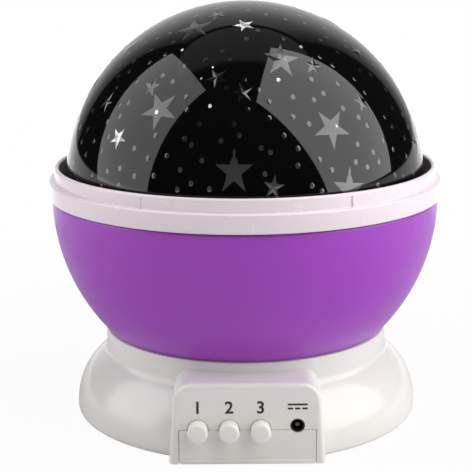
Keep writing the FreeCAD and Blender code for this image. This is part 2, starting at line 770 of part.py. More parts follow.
# Base shell: flared skirt, deck, panel housing, posts and bosses
base_shell = new_body("base_shell")
turned(base_shell, [
    ("0", "foot_stand"),
    ("skirt_radius - skirt_edge", "foot_stand", "skirt_edge"),
    ("skirt_radius", "skirt_widest_height", "flare_bulge_radius"),
    ("flare_top_radius", "flare_top_height"),
    ("neck_radius", "flare_top_height + neck_step"),
    ("neck_radius", "base_top - neck_edge", "neck_edge"),
    ("neck_radius - neck_edge", "base_top"),
    ("0", "base_top"),
])
housing_sketch = new_sketch(base_shell, "XZ_Plane", "panel_front")
draft = "(panel_foot_half_width - panel_head_half_width)"
shoulder = f"(panel_head_half_width + {draft} * panel_corner / panel_height)"
outline(housing_sketch, [
    ("-panel_foot_half_width", "foot_stand"),
    ("panel_foot_half_width", "foot_stand"),
    (shoulder, "panel_top - panel_corner", "panel_corner"),
    ("panel_head_half_width - panel_corner", "panel_top"),
    ("-(panel_head_half_width - panel_corner)", "panel_top", "panel_corner"),
    ("-" + shoulder, "panel_top - panel_corner"),
])
housing = feature(base_shell, "Pad", housing_sketch, "panel_depth", backwards=True)
doc.recompute()
front_edges = [f"Edge{index}" for index, edge in enumerate(housing.Shape.Edges, start=1)
               if edge.BoundBox.YMax < -size("panel_front") + TOUCH]
softened = base_shell.newObject("PartDesign::Fillet", "base_shell_fillet")
softened.Base = (housing, front_edges)
softened.setExpression("Radius", bound("panel_edge"))
base_shell.Tip = softened
turned(base_shell, [
    ("0", "-foot_stand"),
    ("cover_radius + loose_gap", "-foot_stand"),
    ("cover_radius + loose_gap", "cover_top + loose_gap"),
    ("skirt_radius - base_wall", "cover_top + loose_gap + skirt_radius - base_wall - cover_radius",
     "flare_bulge_radius"),
    ("flare_top_radius - base_wall", "flare_top_height - base_wall / 4"),
    ("neck_radius - base_wall", "deck_underside"),
    ("deck_hole_radius + deck_lip", "deck_underside"),
    ("deck_hole_radius + deck_lip", "deck_underside - deck_lip"),
    ("deck_hole_radius", "deck_underside - deck_lip"),
    ("deck_hole_radius", "base_top + foot_stand"),
    ("0", "base_top + foot_stand"),
], "Groove")
room_sketch = new_sketch(base_shell, "XZ_Plane", "panel_inner")
rectangle(room_sketch, "-panel_opening_half_width", "-foot_stand",
          "panel_opening_half_width", "panel_top - panel_wall")
feature(base_shell, "Pocket", room_sketch, "panel_depth")
seam_sketch = new_sketch(base_shell, "XZ_Plane", "panel_front + foot_stand")
rectangle(seam_sketch, "-panel_opening_half_width", "-foot_stand",
          "panel_opening_half_width", "seam_height")
feature(base_shell, "Pocket", seam_sketch, "panel_wall + 2 * foot_stand")


def panel_holes(body):
    """The holes of the three buttons and of the jack, through the panel's wall."""
    sketch = new_sketch(body, "XZ_Plane", "panel_front + foot_stand")
    for number in range(3):
        circle(sketch, f"button_first + {number} * button_spacing", "seam_height", "button_hole_radius")
    circle(sketch, "jack_across", "jack_height", "jack_hole_radius")
    feature(body, "Pocket", sketch, "panel_wall + 2 * foot_stand")


panel_holes(base_shell)
post_sketch = new_sketch(base_shell, "XY_Plane", "post_foot")
circle(post_sketch, "post_across", "post_across", "post_radius")
post = feature(base_shell, "Pad", post_sketch, "deck_underside + deck / 2 - post_foot")
around(base_shell, post, 4)
post_pilot_sketch = new_sketch(base_shell, "XY_Plane", "post_foot - foot_stand")
circle(post_pilot_sketch, "post_across", "post_across", "screw_shank_radius")
post_pilot = feature(base_shell, "Pocket", post_pilot_sketch, "cover_screw_length", backwards=True)
around(base_shell, post_pilot, 4)
boss_sketch = new_sketch(base_shell, "XY_Plane", "plate_top")
circle(boss_sketch, "boss_circle_radius", "0", "boss_radius")
boss = feature(base_shell, "Pad", boss_sketch, "plate_drop + deck / 2")
around(base_shell, boss, 4)
boss_pilot_sketch = new_sketch(base_shell, "XY_Plane", "plate_top - foot_stand")
circle(boss_pilot_sketch, "boss_circle_radius", "0", "screw_shank_radius")
boss_pilot = feature(base_shell, "Pocket", boss_pilot_sketch,
                     "plate_screw_length - plate + foot_stand", backwards=True)
around(base_shell, boss_pilot, 4)
for side in ("", "-"):
    board_boss_sketch = new_sketch(base_shell, "XZ_Plane", "board_front")
    circle(board_boss_sketch, side + "board_boss_across", "board_boss_height", "board_boss_radius")
    feature(base_shell, "Pad", board_boss_sketch, "panel_inner - board_front + panel_wall / 2")
    board_pilot_sketch = new_sketch(base_shell, "XZ_Plane", "board_front")
    circle(board_pilot_sketch, side + "board_boss_across", "board_boss_height", "small_shank_radius")
    feature(base_shell, "Pocket", board_pilot_sketch,
            "panel_inner - board_front - panel_wall / 2", backwards=True)

# Bottom cover with the lower half of the panel, battery bay and screw bosses
base_floor = new_body("base_floor")
disc_sketch = new_sketch(base_floor, "XY_Plane", "foot_stand")
circle(disc_sketch, "0", "0", "cover_radius")
feature(base_floor, "Pad", disc_sketch, "cover")
front_sketch = new_sketch(base_floor, "XZ_Plane", "panel_front")
rectangle(front_sketch, "-panel_opening_half_width + seam_gap", "foot_stand",
          "panel_opening_half_width - seam_gap", "seam_height - seam_gap")
upstand = feature(base_floor, "Pad", front_sketch, "panel_depth", backwards=True)
doc.recompute()
sill = [f"Edge{index}" for index, edge in enumerate(upstand.Shape.Edges, start=1)
        if edge.BoundBox.YMax < -size("panel_front") + TOUCH
        and edge.BoundBox.ZMax < size("foot_stand") + TOUCH]
rounded_sill = base_floor.newObject("PartDesign::Fillet", "base_floor_fillet")
rounded_sill.Base = (upstand, sill)
rounded_sill.setExpression("Radius", bound("panel_edge"))
base_floor.Tip = rounded_sill
behind_sketch = new_sketch(base_floor, "XZ_Plane", "panel_inner")
rectangle(behind_sketch, "-panel_opening_half_width", "cover_top",
          "panel_opening_half_width", "seam_height")
feature(base_floor, "Pocket", behind_sketch, "panel_depth")
panel_holes(base_floor)
cover_boss_sketch = new_sketch(base_floor, "XY_Plane", "cover_top - cover / 2")
circle(cover_boss_sketch, "post_across", "post_across", "cover_boss_radius")
cover_boss = feature(base_floor, "Pad", cover_boss_sketch, "post_foot - cover_top + cover / 2")
around(base_floor, cover_boss, 4)
door_boss_sketch = new_sketch(base_floor, "XY_Plane", "cover_top - cover / 2")
circle(door_boss_sketch, "0", "door_screw_back", "cover_boss_radius + loose_gap")
feature(base_floor, "Pad", door_boss_sketch, "door_boss_top - cover_top + cover / 2")
bay_sketch = new_sketch(base_floor, "XY_Plane", "cover_top - cover / 2")
rectangle(bay_sketch, "-bay_half_length - bay_wall", "bay_front - bay_wall",
          "bay_half_length + bay_wall", "bay_rear + bay_wall")
feature(base_floor, "Pad", bay_sketch, "bay_top - cover_top + cover / 2")
hollow_sketch = new_sketch(base_floor, "XY_Plane", "cover_top")
rectangle(hollow_sketch, "-bay_half_length", "bay_front", "bay_half_length", "bay_rear")
feature(base_floor, "Pocket", hollow_sketch, "bay_ceiling - cover_top", backwards=True)
mouth_sketch = new_sketch(base_floor, "XY_Plane", "-foot_stand")
rectangle(mouth_sketch, "-opening_half_length", "bay_front + contact",
          "opening_half_length", "bay_rear - contact")
feature(base_floor, "Pocket", mouth_sketch, "cover_top + foot_stand * 2", backwards=True)
rebate_sketch = new_sketch(base_floor, "XY_Plane", "-foot_stand")
outline(rebate_sketch, [
    ("-door_half_length - loose_gap", "bay_front - door_lip - loose_gap"),
    ("door_half_length + loose_gap", "bay_front - door_lip - loose_gap"),
    ("door_half_length + loose_gap", "bay_rear + door_lip + loose_gap"),
    ("door_tab_half_width + loose_gap", "bay_rear + door_lip + loose_gap"),
    ("door_tab_half_width + loose_gap", "bay_rear + door_lip + door_tab_length + loose_gap"),
    ("-door_tab_half_width - loose_gap", "bay_rear + door_lip + door_tab_length + loose_gap"),
    ("-door_tab_half_width - loose_gap", "bay_rear + door_lip + loose_gap"),
    ("-door_half_length - loose_gap", "bay_rear + door_lip + loose_gap"),
])
feature(base_floor, "Pocket", rebate_sketch, "door_top + running_gap + foot_stand", backwards=True)
collar_room_sketch = new_sketch(base_floor, "XY_Plane", "-foot_stand")
circle(collar_room_sketch, "0", "door_screw_back", "cover_boss_radius - bay_wall + loose_gap")
feature(base_floor, "Pocket", collar_room_sketch,
        "door_top + door_lip + loose_gap + foot_stand", backwards=True)
door_pilot_sketch = new_sketch(base_floor, "XY_Plane", "foot_stand")
circle(door_pilot_sketch, "0", "door_screw_back", "screw_shank_radius + running_gap")
feature(base_floor, "Pocket", door_pilot_sketch, "door_screw_length + screw_head", backwards=True)
for radius, depth in (("screw_head_radius + loose_gap", "screw_head + loose_gap"),
                      ("screw_shank_radius + loose_gap / 2", "cover_top + post_foot_rise + foot_stand")):
    cover_hole_sketch = new_sketch(base_floor, "XY_Plane", "foot_stand")
    circle(cover_hole_sketch, "post_across", "post_across", radius)
    cover_hole = feature(base_floor, "Pocket", cover_hole_sketch, depth, backwards=True)
    around(base_floor, cover_hole, 4)
foot_places = [("front_foot_across", "front_foot_back"), ("-front_foot_across", "front_foot_back"),
               ("rear_foot_across", "rear_foot_back"), ("-rear_foot_across", "rear_foot_back")]
foot_sketch = new_sketch(base_floor, "XY_Plane", "foot_stand")
for across, back in foot_places:
    circle(foot_sketch, across, back, "foot_radius + running_gap")
feature(base_floor, "Pocket", foot_sketch, "foot_recess", backwards=True)

rubber_feet = group("rubber_feet", [
    rod(f"foot_{number}", "foot_radius", "foot_stand + foot_recess", (*spot, "0"))
    for number, spot in enumerate(foot_places)])
corners = [(f"{x}post_across", f"{y}post_across") for x in ("", "-") for y in ("", "-")]
floor_screws = screws("floor_screws", [
    (*corner, "foot_stand + screw_head + loose_gap") for corner in corners
], "up", "screw_head_radius", "screw_head", "screw_shank_radius", "cover_screw_length")

# Battery door: plate with a tab, a pad that fills the bay's mouth, and a collar for its captive screw
battery_door = new_body("battery_door")
door_sketch = new_sketch(battery_door, "XY_Plane", "foot_stand")
outline(door_sketch, [
    ("-door_half_length", "bay_front - door_lip"),
    ("door_half_length", "bay_front - door_lip"),
    ("door_half_length", "bay_rear + door_lip"),
    ("door_tab_half_width", "bay_rear + door_lip"),
    ("door_tab_half_width", "bay_rear + door_lip + door_tab_length"),
    ("-door_tab_half_width", "bay_rear + door_lip + door_tab_length"),
    ("-door_tab_half_width", "bay_rear + door_lip"),
    ("-door_half_length", "bay_rear + door_lip"),
])
feature(battery_door, "Pad", door_sketch, "door")
door_pad_sketch = new_sketch(battery_door, "XY_Plane", "door_top")
rectangle(door_pad_sketch, "-opening_half_length + loose_gap", "bay_front + contact + loose_gap",
          "opening_half_length - loose_gap", "bay_rear - contact - loose_gap")
feature(battery_door, "Pad", door_pad_sketch, "door_pad")
collar_sketch = new_sketch(battery_door, "XY_Plane", "foot_stand + door / 2")
circle(collar_sketch, "0", "door_screw_back", "cover_boss_radius - bay_wall")
feature(battery_door, "Pad", collar_sketch, "door_lip + door / 2")
for radius, depth in (("screw_head_radius + 4 * running_gap", "screw_head + 4 * running_gap"),
                      ("screw_shank_radius", "door + door_lip + foot_stand")):
    door_hole_sketch = new_sketch(battery_door, "XY_Plane", "foot_stand")
    circle(door_hole_sketch, "0", "door_screw_back", radius)
    feature(battery_door, "Pocket", door_hole_sketch, depth, backwards=True)
door_screw = screws("door_screw", [("0", "door_screw_back", "foot_stand + screw_head + 4 * running_gap")],
                    "up", "screw_head_radius", "screw_head", "screw_shank_radius",
                    "door_screw_length - 2 * screw_head")

# Cells lie head to tail, each between a flat contact and a leaf contact
cells, leaf_springs, flat_plates = [], [], []
for number in range(4):
    back = f"cell_first_back + {number} * cell_spacing"
    way, sign = ("right", "") if number % 2 == 0 else ("left", "-")
    foot = f"{sign}(bay_half_length - contact - cell_length)"
    nub = f"{sign}(bay_half_length - contact - cell_nub)"
    can = rod(f"cell_can_{number}", "cell_radius", "cell_length - cell_nub",
              (foot, back, "cell_height"), way)
    pip = rod(f"cell_nub_{number}", "cell_nub_radius", "cell_nub", (nub, back, "cell_height"), way)
    cells.append(joined(f"cell_{number}", can, pip))
    wall = [f"{sign}(bay_half_length - contact)", f"{sign}bay_half_length"]
    low, high = (wall if number % 2 == 0 else wall[::-1])
    flat_plates.append(block(f"flat_contact_{number}",
                             (low, f"{back} - contact_width / 2", "cover_top + contact"),
                             (high, f"{back} + contact_width / 2", "bay_ceiling - contact")))
    leaf = doc.addObject("Part::Feature", f"leaf_contact_{number}")
    wall_x, tip_x = -size("bay_half_length"), size("bay_half_length - contact - cell_length")
    sheet_metal, low_z, high_z = size("contact"), size("cover_top + contact"), size("bay_ceiling - contact")
    mid_z, tip_half, foot_drop = size("cell_height"), size("leaf_tip_half_height"), size("leaf_foot_drop")
    strip = Part.makePolygon([V(x, 0, z) for x, z in (
        (wall_x, low_z), (wall_x + sheet_metal, low_z), (wall_x + sheet_metal, high_z - 2 * sheet_metal),
        (tip_x - 2 * sheet_metal, mid_z + tip_half), (tip_x - 2 * sheet_metal, mid_z),
        (wall_x + 4 * sheet_metal, mid_z - foot_drop),
        (wall_x + 5 * sheet_metal, mid_z - foot_drop - sheet_metal),
        (tip_x, mid_z - tip_half / 2), (tip_x, mid_z + tip_half * 1.5),
        (wall_x + sheet_metal * 1.5, high_z), (wall_x, high_z), (wall_x, low_z))])
    leaf.Shape = Part.Face(strip).extrude(V(0, size("contact_width"), 0))
    turn = FreeCAD.Rotation(V(0, 0, 1), 0 if number % 2 == 0 else 180)
    half_width = size("contact_width / 2") * (-1 if number % 2 == 0 else 1)
    leaf.Placement = FreeCAD.Placement(V(0, size(back) + half_width, 0), turn)
    leaf_springs.append(leaf)
battery_cells = group("battery_cells", cells)
leaf_contacts = group("leaf_contacts", leaf_springs)
flat_contacts = group("flat_contacts", flat_plates)

# Motor plate: rimmed disc under the deck, notched round the posts
plate_blank = new_body("plate_blank")
turned(plate_blank, [
    ("column_radius + 2 * running_gap", "plate_underside"),
    ("plate_radius - plate_rim_wall", "plate_underside"),
    ("plate_radius - plate_rim_wall", "plate_underside - plate_rim"),
    ("plate_radius", "plate_underside - plate_rim"),
    ("plate_radius", "plate_top"),
    ("column_radius + 2 * running_gap", "plate_top"),
])
notch_sketch = new_sketch(plate_blank, "XY_Plane", "plate_top")
circle(notch_sketch, "post_across", "post_across", "post_radius + 2 * loose_gap")
notch = feature(plate_blank, "Pocket", notch_sketch, "plate + plate_rim")
around(plate_blank, notch, 4)
plate_hole_sketch = new_sketch(plate_blank, "XY_Plane", "plate_top")
circle(plate_hole_sketch, "boss_circle_radius", "0", "screw_shank_radius + running_gap")
plate_hole = feature(plate_blank, "Pocket", plate_hole_sketch, "plate")
around(plate_blank, plate_hole, 4)
column_hole_sketch = new_sketch(plate_blank, "XY_Plane", "plate_top")
circle(column_hole_sketch, "0", "column_screw_circle", "small_shank_radius + running_gap")
column_hole = feature(plate_blank, "Pocket", column_hole_sketch, "plate")
around(plate_blank, column_hole, 3)
motor_hole_sketch = new_sketch(plate_blank, "XY_Plane", "plate_top")
circle(motor_hole_sketch, "0", "-pinion_distance", "motor_shaft_radius * 2")
for side in ("", "-"):
    circle(motor_hole_sketch, side + "(gearbox_ear_reach - gearbox_ear_half_width)", "motor_back",
           "small_shank_radius")
feature(plate_blank, "Pocket", motor_hole_sketch, "plate")
plate_blank.Label = "motor_plate"
plate_screws = screws("plate_screws", [
    (f"boss_circle_radius * cos({turn})", f"boss_circle_radius * sin({turn})", "plate_underside")
    for turn in (0, 90, 180, 270)
], "up", "small_head_radius", "small_head", "screw_shank_radius", "plate_screw_length")

# Geared motor, hung under the plate
gearbox_ears = block(
    "gearbox_ears",
    ("-gearbox_ear_reach", "motor_back - gearbox_ear_half_width", "plate_underside - gearbox_ear"),
    ("gearbox_ear_reach", "motor_back + gearbox_ear_half_width", "plate_underside"))
gearbox_can = rod("gearbox_can", "gearbox_radius", "gearbox", ("0", "motor_back", "gearbox_foot"))
shaft_hole = rod("shaft_hole", "motor_shaft_radius + running_gap", "gearbox",
                 ("0", "-pinion_distance", "gearbox_foot + gearbox / 2 - running_gap"))
ear_holes = [rod(f"ear_hole_{number}", "small_shank_radius + running_gap", "2 * gearbox_ear",
                 (side + "(gearbox_ear_reach - gearbox_ear_half_width)", "motor_back",
                  "plate_underside - 1.5 * gearbox_ear"))
             for number, side in enumerate(("", "-"))]
gearbox_blank = joined("gearbox_blank", gearbox_can, gearbox_ears)
motor_gearbox = cut("motor_gearbox", gearbox_blank, shaft_hole, *ear_holes)
motor_drum = rod("motor_drum", "motor_radius", "motor", ("0", "motor_back", "motor_foot"))
motor_end = rod("motor_end", "motor_cap_radius", "motor_cap", ("0", "motor_back", "motor_foot - motor_cap"))
motor_can = joined("motor_can", motor_drum, motor_end)
motor_screws = screws("motor_screws", [(side + "(gearbox_ear_reach - gearbox_ear_half_width)", "motor_back",
                                        "plate_underside - gearbox_ear") for side in ("", "-")],
                      "up", "small_head_radius", "small_head", "small_shank_radius", "plate + gearbox_ear")

# Centre column with its flange and clip groove, washer and clip
column_blank = new_body("column_blank")
turned(column_blank, [
    ("column_bore_radius", "plate_underside"),
    ("column_radius", "plate_underside"),
    ("column_radius", "plate_top"),
    ("column_flange_radius", "plate_top"),
    ("column_flange_radius", "flange_top"),
    ("column_radius", "flange_top"),
    ("column_radius", "clip_foot"),
    ("column_radius - clip_groove_depth", "clip_foot"),
    ("column_radius - clip_groove_depth", "clip_foot + clip + running_gap"),
    ("column_radius", "clip_foot + clip + running_gap"),
    ("column_radius", "column_top_height"),
    ("column_bore_radius", "column_top_height"),
])
flange_hole_sketch = new_sketch(column_blank, "XY_Plane", "plate_top - foot_stand")
circle(flange_hole_sketch, "0", "column_screw_circle", "small_shank_radius")
flange_hole = feature(column_blank, "Pocket", flange_hole_sketch, "column_flange", backwards=True)
around(column_blank, flange_hole, 3)
column_blank.Label = "centre_column"
column_screws = screws("column_screws", [
    (f"-column_screw_circle * sin({turn})", f"column_screw_circle * cos({turn})", "plate_underside")
    for turn in (0, 120, 240)
], "up", "small_head_radius - loose_gap", "small_head", "small_shank_radius",
    "plate + column_flange - foot_stand")
washer_foot = ("0", "0", "flange_top")
thrust_washer = cut("thrust_washer", rod("washer_disc", "washer_radius", "washer", washer_foot),
                    rod("washer_hole", "column_radius + 2 * running_gap", "washer", washer_foot))
clip_seat = "column_radius - clip_groove_depth"
retaining_clip = cut("retaining_clip", rod("clip_disc", "clip_radius", "clip", ("0", "0", "clip_foot")),
                     rod("clip_hole", clip_seat, "clip", ("0", "0", "clip_foot")),
                     block("clip_mouth", ("0", f"-clip_mouth_share * ({clip_seat})", "clip_foot"),
                           ("clip_radius", f"clip_mouth_share * ({clip_seat})", "clip_foot + clip")))

# Lamp holder, board, lamps and frosted lens on the column's top
lamp_holder = new_body("lamp_holder")
turned(lamp_holder, [
    ("column_bore_radius", "column_top_height"),
    ("column_radius", "column_top_height"),
    ("column_radius", "column_top_height - holder_sleeve"),
    ("column_radius + holder_sleeve_wall", "column_top_height - holder_sleeve"),
    ("column_radius + holder_sleeve_wall", "column_top_height"),
    ("holder_radius", "column_top_height"),
    ("holder_radius", "holder_top"),
    ("column_bore_radius", "holder_top"),
])
for side in ("", "-"):
    lamp_boss_sketch = new_sketch(lamp_holder, "XY_Plane", "holder_top - holder / 2")
    circle(lamp_boss_sketch, side + "lamp_boss_across", "0", "lamp_boss_radius")
    feature(lamp_holder, "Pad", lamp_boss_sketch, "lamp_boss + holder / 2")
    lamp_pilot_sketch = new_sketch(lamp_holder, "XY_Plane", "holder_top + lamp_boss")
    circle(lamp_pilot_sketch, side + "lamp_boss_across", "0", "small_shank_radius")
    feature(lamp_holder, "Pocket", lamp_pilot_sketch, "lamp_boss")
lamp_board = cut("lamp_board", rod("lamp_disc", "lamp_board_radius", "board", ("0", "0", "lamp_board_foot")),
                 rod("lamp_lead_hole", "2 * lead_radius", "board", ("0", "0", "lamp_board_foot")),
                 *[rod(f"lamp_board_hole_{number}", "small_shank_radius", "board",
                       (side + "lamp_boss_across", "0", "lamp_board_foot"))
                   for number, side in enumerate(("", "-"))])
lamp_board_screws = screws("lamp_board_screws", [
    (side + "lamp_boss_across", "0", "lamp_board_top") for side in ("", "-")
], "down", "small_head_radius", "small_head", "small_shank_radius", "board + lamp_boss")
lamp_parts = []
for number in range(4):
    middle = (("" if number % 2 else "-") + "lamp_across", ("" if number < 2 else "-") + "lamp_across")
    rim = rod(f"lamp_rim_{number}", "lamp_radius + loose_gap", "lamp_flange", (*middle, "lamp_board_top"))
    barrel = rod(f"lamp_barrel_{number}", "lamp_radius", "lamp_barrel", (*middle, "lamp_board_top"))
    crown = doc.addObject("Part::Sphere", f"lamp_crown_{number}")
    crown.setExpression("Radius", bound("lamp_radius"))
    crown.Angle1 = 0
    place(crown, *middle, "lamp_board_top + lamp_barrel")
    lamp_parts.append(joined(f"lamp_{number}", rim, barrel, crown))
lamps = group("lamps", lamp_parts)
lamp_lens = new_body("lamp_lens")
crown_radius = "((lens_radius^2 + lens_crown^2) / (2 * lens_crown))"
inner_crown = "(((lens_radius - lens_wall)^2 + lens_crown^2) / (2 * lens_crown))"
turned(lamp_lens, [
    ("lens_radius - lens_wall", "holder_top"),
    ("lens_radius", "holder_top"),
    ("lens_radius", "holder_top + lens_skirt", crown_radius),
    ("0", "holder_top + lens_skirt + lens_crown"),
    ("0", "holder_top + lens_skirt + lens_crown - lens_wall", "-" + inner_crown),
    ("lens_radius - lens_wall", "holder_top + lens_skirt - lens_wall"),
])

# Control board with its switches, jack and screws
board_blank = block("board_blank", ("-board_half_width", "-board_front", "board_foot_height"),
                    ("board_half_width", "-board_rear", "board_head_height"))
control_board = cut("control_board", board_blank,
                    *[rod(f"board_hole_{number}", "small_shank_radius + running_gap", "board",
                          (side + "board_boss_across", "-board_rear", "board_boss_height"), "front")
                      for number, side in enumerate(("", "-"))])
board_screws = screws("board_screws", [(side + "board_boss_across", "-board_rear", "board_boss_height")
                                       for side in ("", "-")],
                      "front", "small_head_radius", "small_head", "small_shank_radius",
                      "board + (panel_inner - board_front) / 2")
switches, buttons = [], []
for number, name in enumerate(("warm_light_button", "colour_button", "spin_button")):
    across = f"(button_first + {number} * button_spacing)"
    case = block(f"switch_case_{number}",
                 (f"{across} - switch_side / 2", "-switch_front", "seam_height - switch_side / 2"),
                 (f"{across} + switch_side / 2", "-board_front", "seam_height + switch_side / 2"))
    plunger = rod(f"switch_plunger_{number}", "switch_plunger_radius", "switch_plunger",
                  (across, "-switch_front", "seam_height"), "front")
    switches.append(joined(f"switch_{number}", case, plunger))
    button = new_body(name)
    sketch = new_sketch(button, "XY_Plane", "seam_height")
    stand_out = "panel_front + button_stand_out"
    outline(sketch, [
        (across, f"-({stand_out})"),
        (f"{across} + button_radius - button_edge", f"-({stand_out})", "button_edge"),
        (f"{across} + button_radius", f"-({stand_out}) + button_edge"),
        (f"{across} + button_radius", "-panel_inner + loose_gap"),
        (f"{across} + button_flange_radius", "-panel_inner + loose_gap"),
        (f"{across} + button_flange_radius", "-panel_inner + loose_gap + button_flange"),
        (f"{across} + button_stem_radius", "-panel_inner + loose_gap + button_flange"),
        (f"{across} + button_stem_radius", "-stem_end"),
        (across, "-stem_end"),
    ])
    turn = button.newObject("PartDesign::Revolution", name + "_revolution")
    turn.Profile = sketch
    turn.ReferenceAxis = (sketch, ["Edge9"])
    turn.Angle = 360
    button.Tip = turn
    buttons.append(button)
tact_switches = group("tact_switches", switches)
jack_case = block("jack_case",
                  ("jack_across - jack_side / 2", "-panel_inner + loose_gap", "jack_height - jack_side / 2"),
                  ("jack_across + jack_side / 2", "-board_front", "jack_height + jack_side / 2"))
bore_end = ("jack_across", "-panel_front + jack_nose_recess + jack_bore_depth", "jack_height")
jack_nose = rod("jack_nose", "jack_nose_radius", "jack_bore_depth", bore_end, "front")
dc_jack = cut("dc_jack", joined("jack_body", jack_case, jack_nose),
              rod("jack_bore", "jack_bore_radius", "jack_bore_depth", bore_end, "front"))
dc_jack_pin = rod("dc_jack_pin", "jack_pin_radius", "jack_bore_depth - jack_pin_recess", bore_end, "front")
dc_jack_pin.Label = "dc_jack_pin"

# Leads from the control board to the lamp board and to the motor
lead_side = "(gearbox_radius + lamp_lead_beside)"
lamp_lead = lead("lamp_lead", [
    (lead_side, "-board_rear", "board_foot_height + lamp_lead_rise"),
    (lead_side, "-board_rear + lead_run_out", "board_foot_height + lamp_lead_rise"),
    (lead_side, "motor_back + gearbox_radius / 2", "bay_top - lead_bay_gap"),
    ("0", "0", "bay_top + lead_bow"),
    ("0", "0", "lamp_board_foot"),
])
motor_side = "motor_radius / 2"
motor_lead = lead("motor_lead", [
    ("-motor_radius", "-board_rear", "gearbox_foot - lead_bow"),
    ("-motor_radius", "-board_rear + lead_run_out", "gearbox_foot - lead_bow"),
    (f"-{motor_side}", "motor_back - motor_radius - motor_lead_reach", "motor_foot + motor / 2"),
    (f"-{motor_side}", f"motor_back - sqrt(motor_radius^2 - ({motor_side} - lead_radius)^2) - running_gap",
     "motor_foot + motor / 2"),
])

PIECES = [
    star_dome, rim_ring, bowl, light_tray, turntable_gear, hub_bush, gear_screws,
    drive_pinion, motor_shaft, base_shell, base_floor, battery_door, door_screw,
    battery_cells, leaf_contacts, flat_contacts, floor_screws, rubber_feet,
    plate_blank, plate_screws, motor_gearbox, motor_can, motor_screws,
    column_blank, column_screws, thrust_washer, retaining_clip,
    lamp_holder, lamp_board, lamps, lamp_board_screws, lamp_lens,
    control_board, board_screws, tact_switches, dc_jack, dc_jack_pin, *buttons,
    lamp_lead, motor_lead,
]

doc.recompute()
for item in doc.Objects:
    if "Invalid" in item.State or "Error" in item.State:
        raise ValueError(f"{item.Label} failed: {item.State}")
    if item.TypeId in ("PartDesign::Pocket", "PartDesign::Groove"):
        if item.Shape.Volume > item.BaseFeature.Shape.Volume - 0.1:
            raise ValueError(item.Name + " cuts nothing")
for piece in PIECES:
    if piece.Shape.isNull() or not piece.Shape.isValid() or not piece.Shape.Solids:
        raise ValueError(piece.Label + " has no sound solid")
for piece in PIECES:
    piece.Shape.exportStep(f"parts/{piece.Label}.step")
print(len(PIECES), "pieces")
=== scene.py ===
import math
import random

import bmesh
import bpy
from bpy.props import FloatProperty, FloatVectorProperty, IntProperty, PointerProperty
from mathutils import Matrix, Vector


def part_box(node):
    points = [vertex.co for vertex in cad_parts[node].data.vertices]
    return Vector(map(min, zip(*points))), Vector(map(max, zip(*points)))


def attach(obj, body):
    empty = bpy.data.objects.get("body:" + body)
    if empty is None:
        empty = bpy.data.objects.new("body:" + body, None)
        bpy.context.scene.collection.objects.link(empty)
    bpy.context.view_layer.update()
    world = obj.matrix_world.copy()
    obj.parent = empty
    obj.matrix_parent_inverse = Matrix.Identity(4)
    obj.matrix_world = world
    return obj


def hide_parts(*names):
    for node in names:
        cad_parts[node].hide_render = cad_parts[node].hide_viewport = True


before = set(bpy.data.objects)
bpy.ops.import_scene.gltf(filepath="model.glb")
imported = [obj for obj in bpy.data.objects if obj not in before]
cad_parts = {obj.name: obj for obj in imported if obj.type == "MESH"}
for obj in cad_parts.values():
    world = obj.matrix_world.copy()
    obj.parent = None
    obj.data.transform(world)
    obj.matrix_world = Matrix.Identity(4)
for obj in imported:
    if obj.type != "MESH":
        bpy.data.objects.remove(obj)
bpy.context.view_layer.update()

bl_info = {
    "name": "Star Night Light Projector",
    "version": (1, 0, 0),
    "blender": (4, 5, 0),
    "location": "View3D > Sidebar > Projector",
    "description": "Dresses the packed parts of a star night light projector and lights it",
    "category": "Object",
}

MM = 0.001
DOME_LOW, DOME_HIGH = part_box("star_dome")
SHELL_LOW, SHELL_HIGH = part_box("base_shell")
RING_LOW, RING_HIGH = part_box("rim_ring")
BOWL_LOW, BOWL_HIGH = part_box("bowl")
# Each button's node and the body that it is
BUTTONS = {"warm_light_button": "warm_light_key", "colour_button": "colour_key", "spin_button": "spin_key"}


# Sizes and colours that a user may change

class ProjectorSizes(bpy.types.PropertyGroup):
    dome_radius: FloatProperty(
        name="Dome radius", description="Radius of the dome's outer face",
        default=59.3 * MM, min=0.02, unit="LENGTH")
    dome_centre: FloatProperty(
        name="Dome centre", description="Height of the ball's centre",
        default=DOME_HIGH.z - 59.3 * MM, unit="LENGTH")
    large_star: FloatProperty(
        name="Large star", description="Radius from the middle to a point of a large star",
        default=5.9 * MM, min=0.001, unit="LENGTH")
    small_star: FloatProperty(
        name="Small star", description="Radius from the middle to a point of a small star",
        default=3.2 * MM, min=0.0005, unit="LENGTH")
    dot_radius: FloatProperty(
        name="Dot radius", description="Radius of a round window",
        default=0.72 * MM, min=0.0002, unit="LENGTH")
    dot_count: IntProperty(
        name="Dots", description="Number of round windows before the stars take their room",
        default=560, min=0, max=1200)
    star_waist: FloatProperty(
        name="Star waist", description="Radius of the inner corners as a share of the points' radius",
        default=0.37, min=0.2, max=0.8)
    star_crown: FloatProperty(
        name="Star crown", description="Rise of a star's middle over its rim",
        default=0.16 * MM, min=0, unit="LENGTH")
    window_stretch: FloatProperty(
        name="Window stretch", description="Height of the windows as a share of their width",
        default=1.22, min=0.5, max=2)
    mark_height: FloatProperty(
        name="Mark height", description="Height of the printed numbers above the buttons",
        default=3.8 * MM, min=0.001, unit="LENGTH")


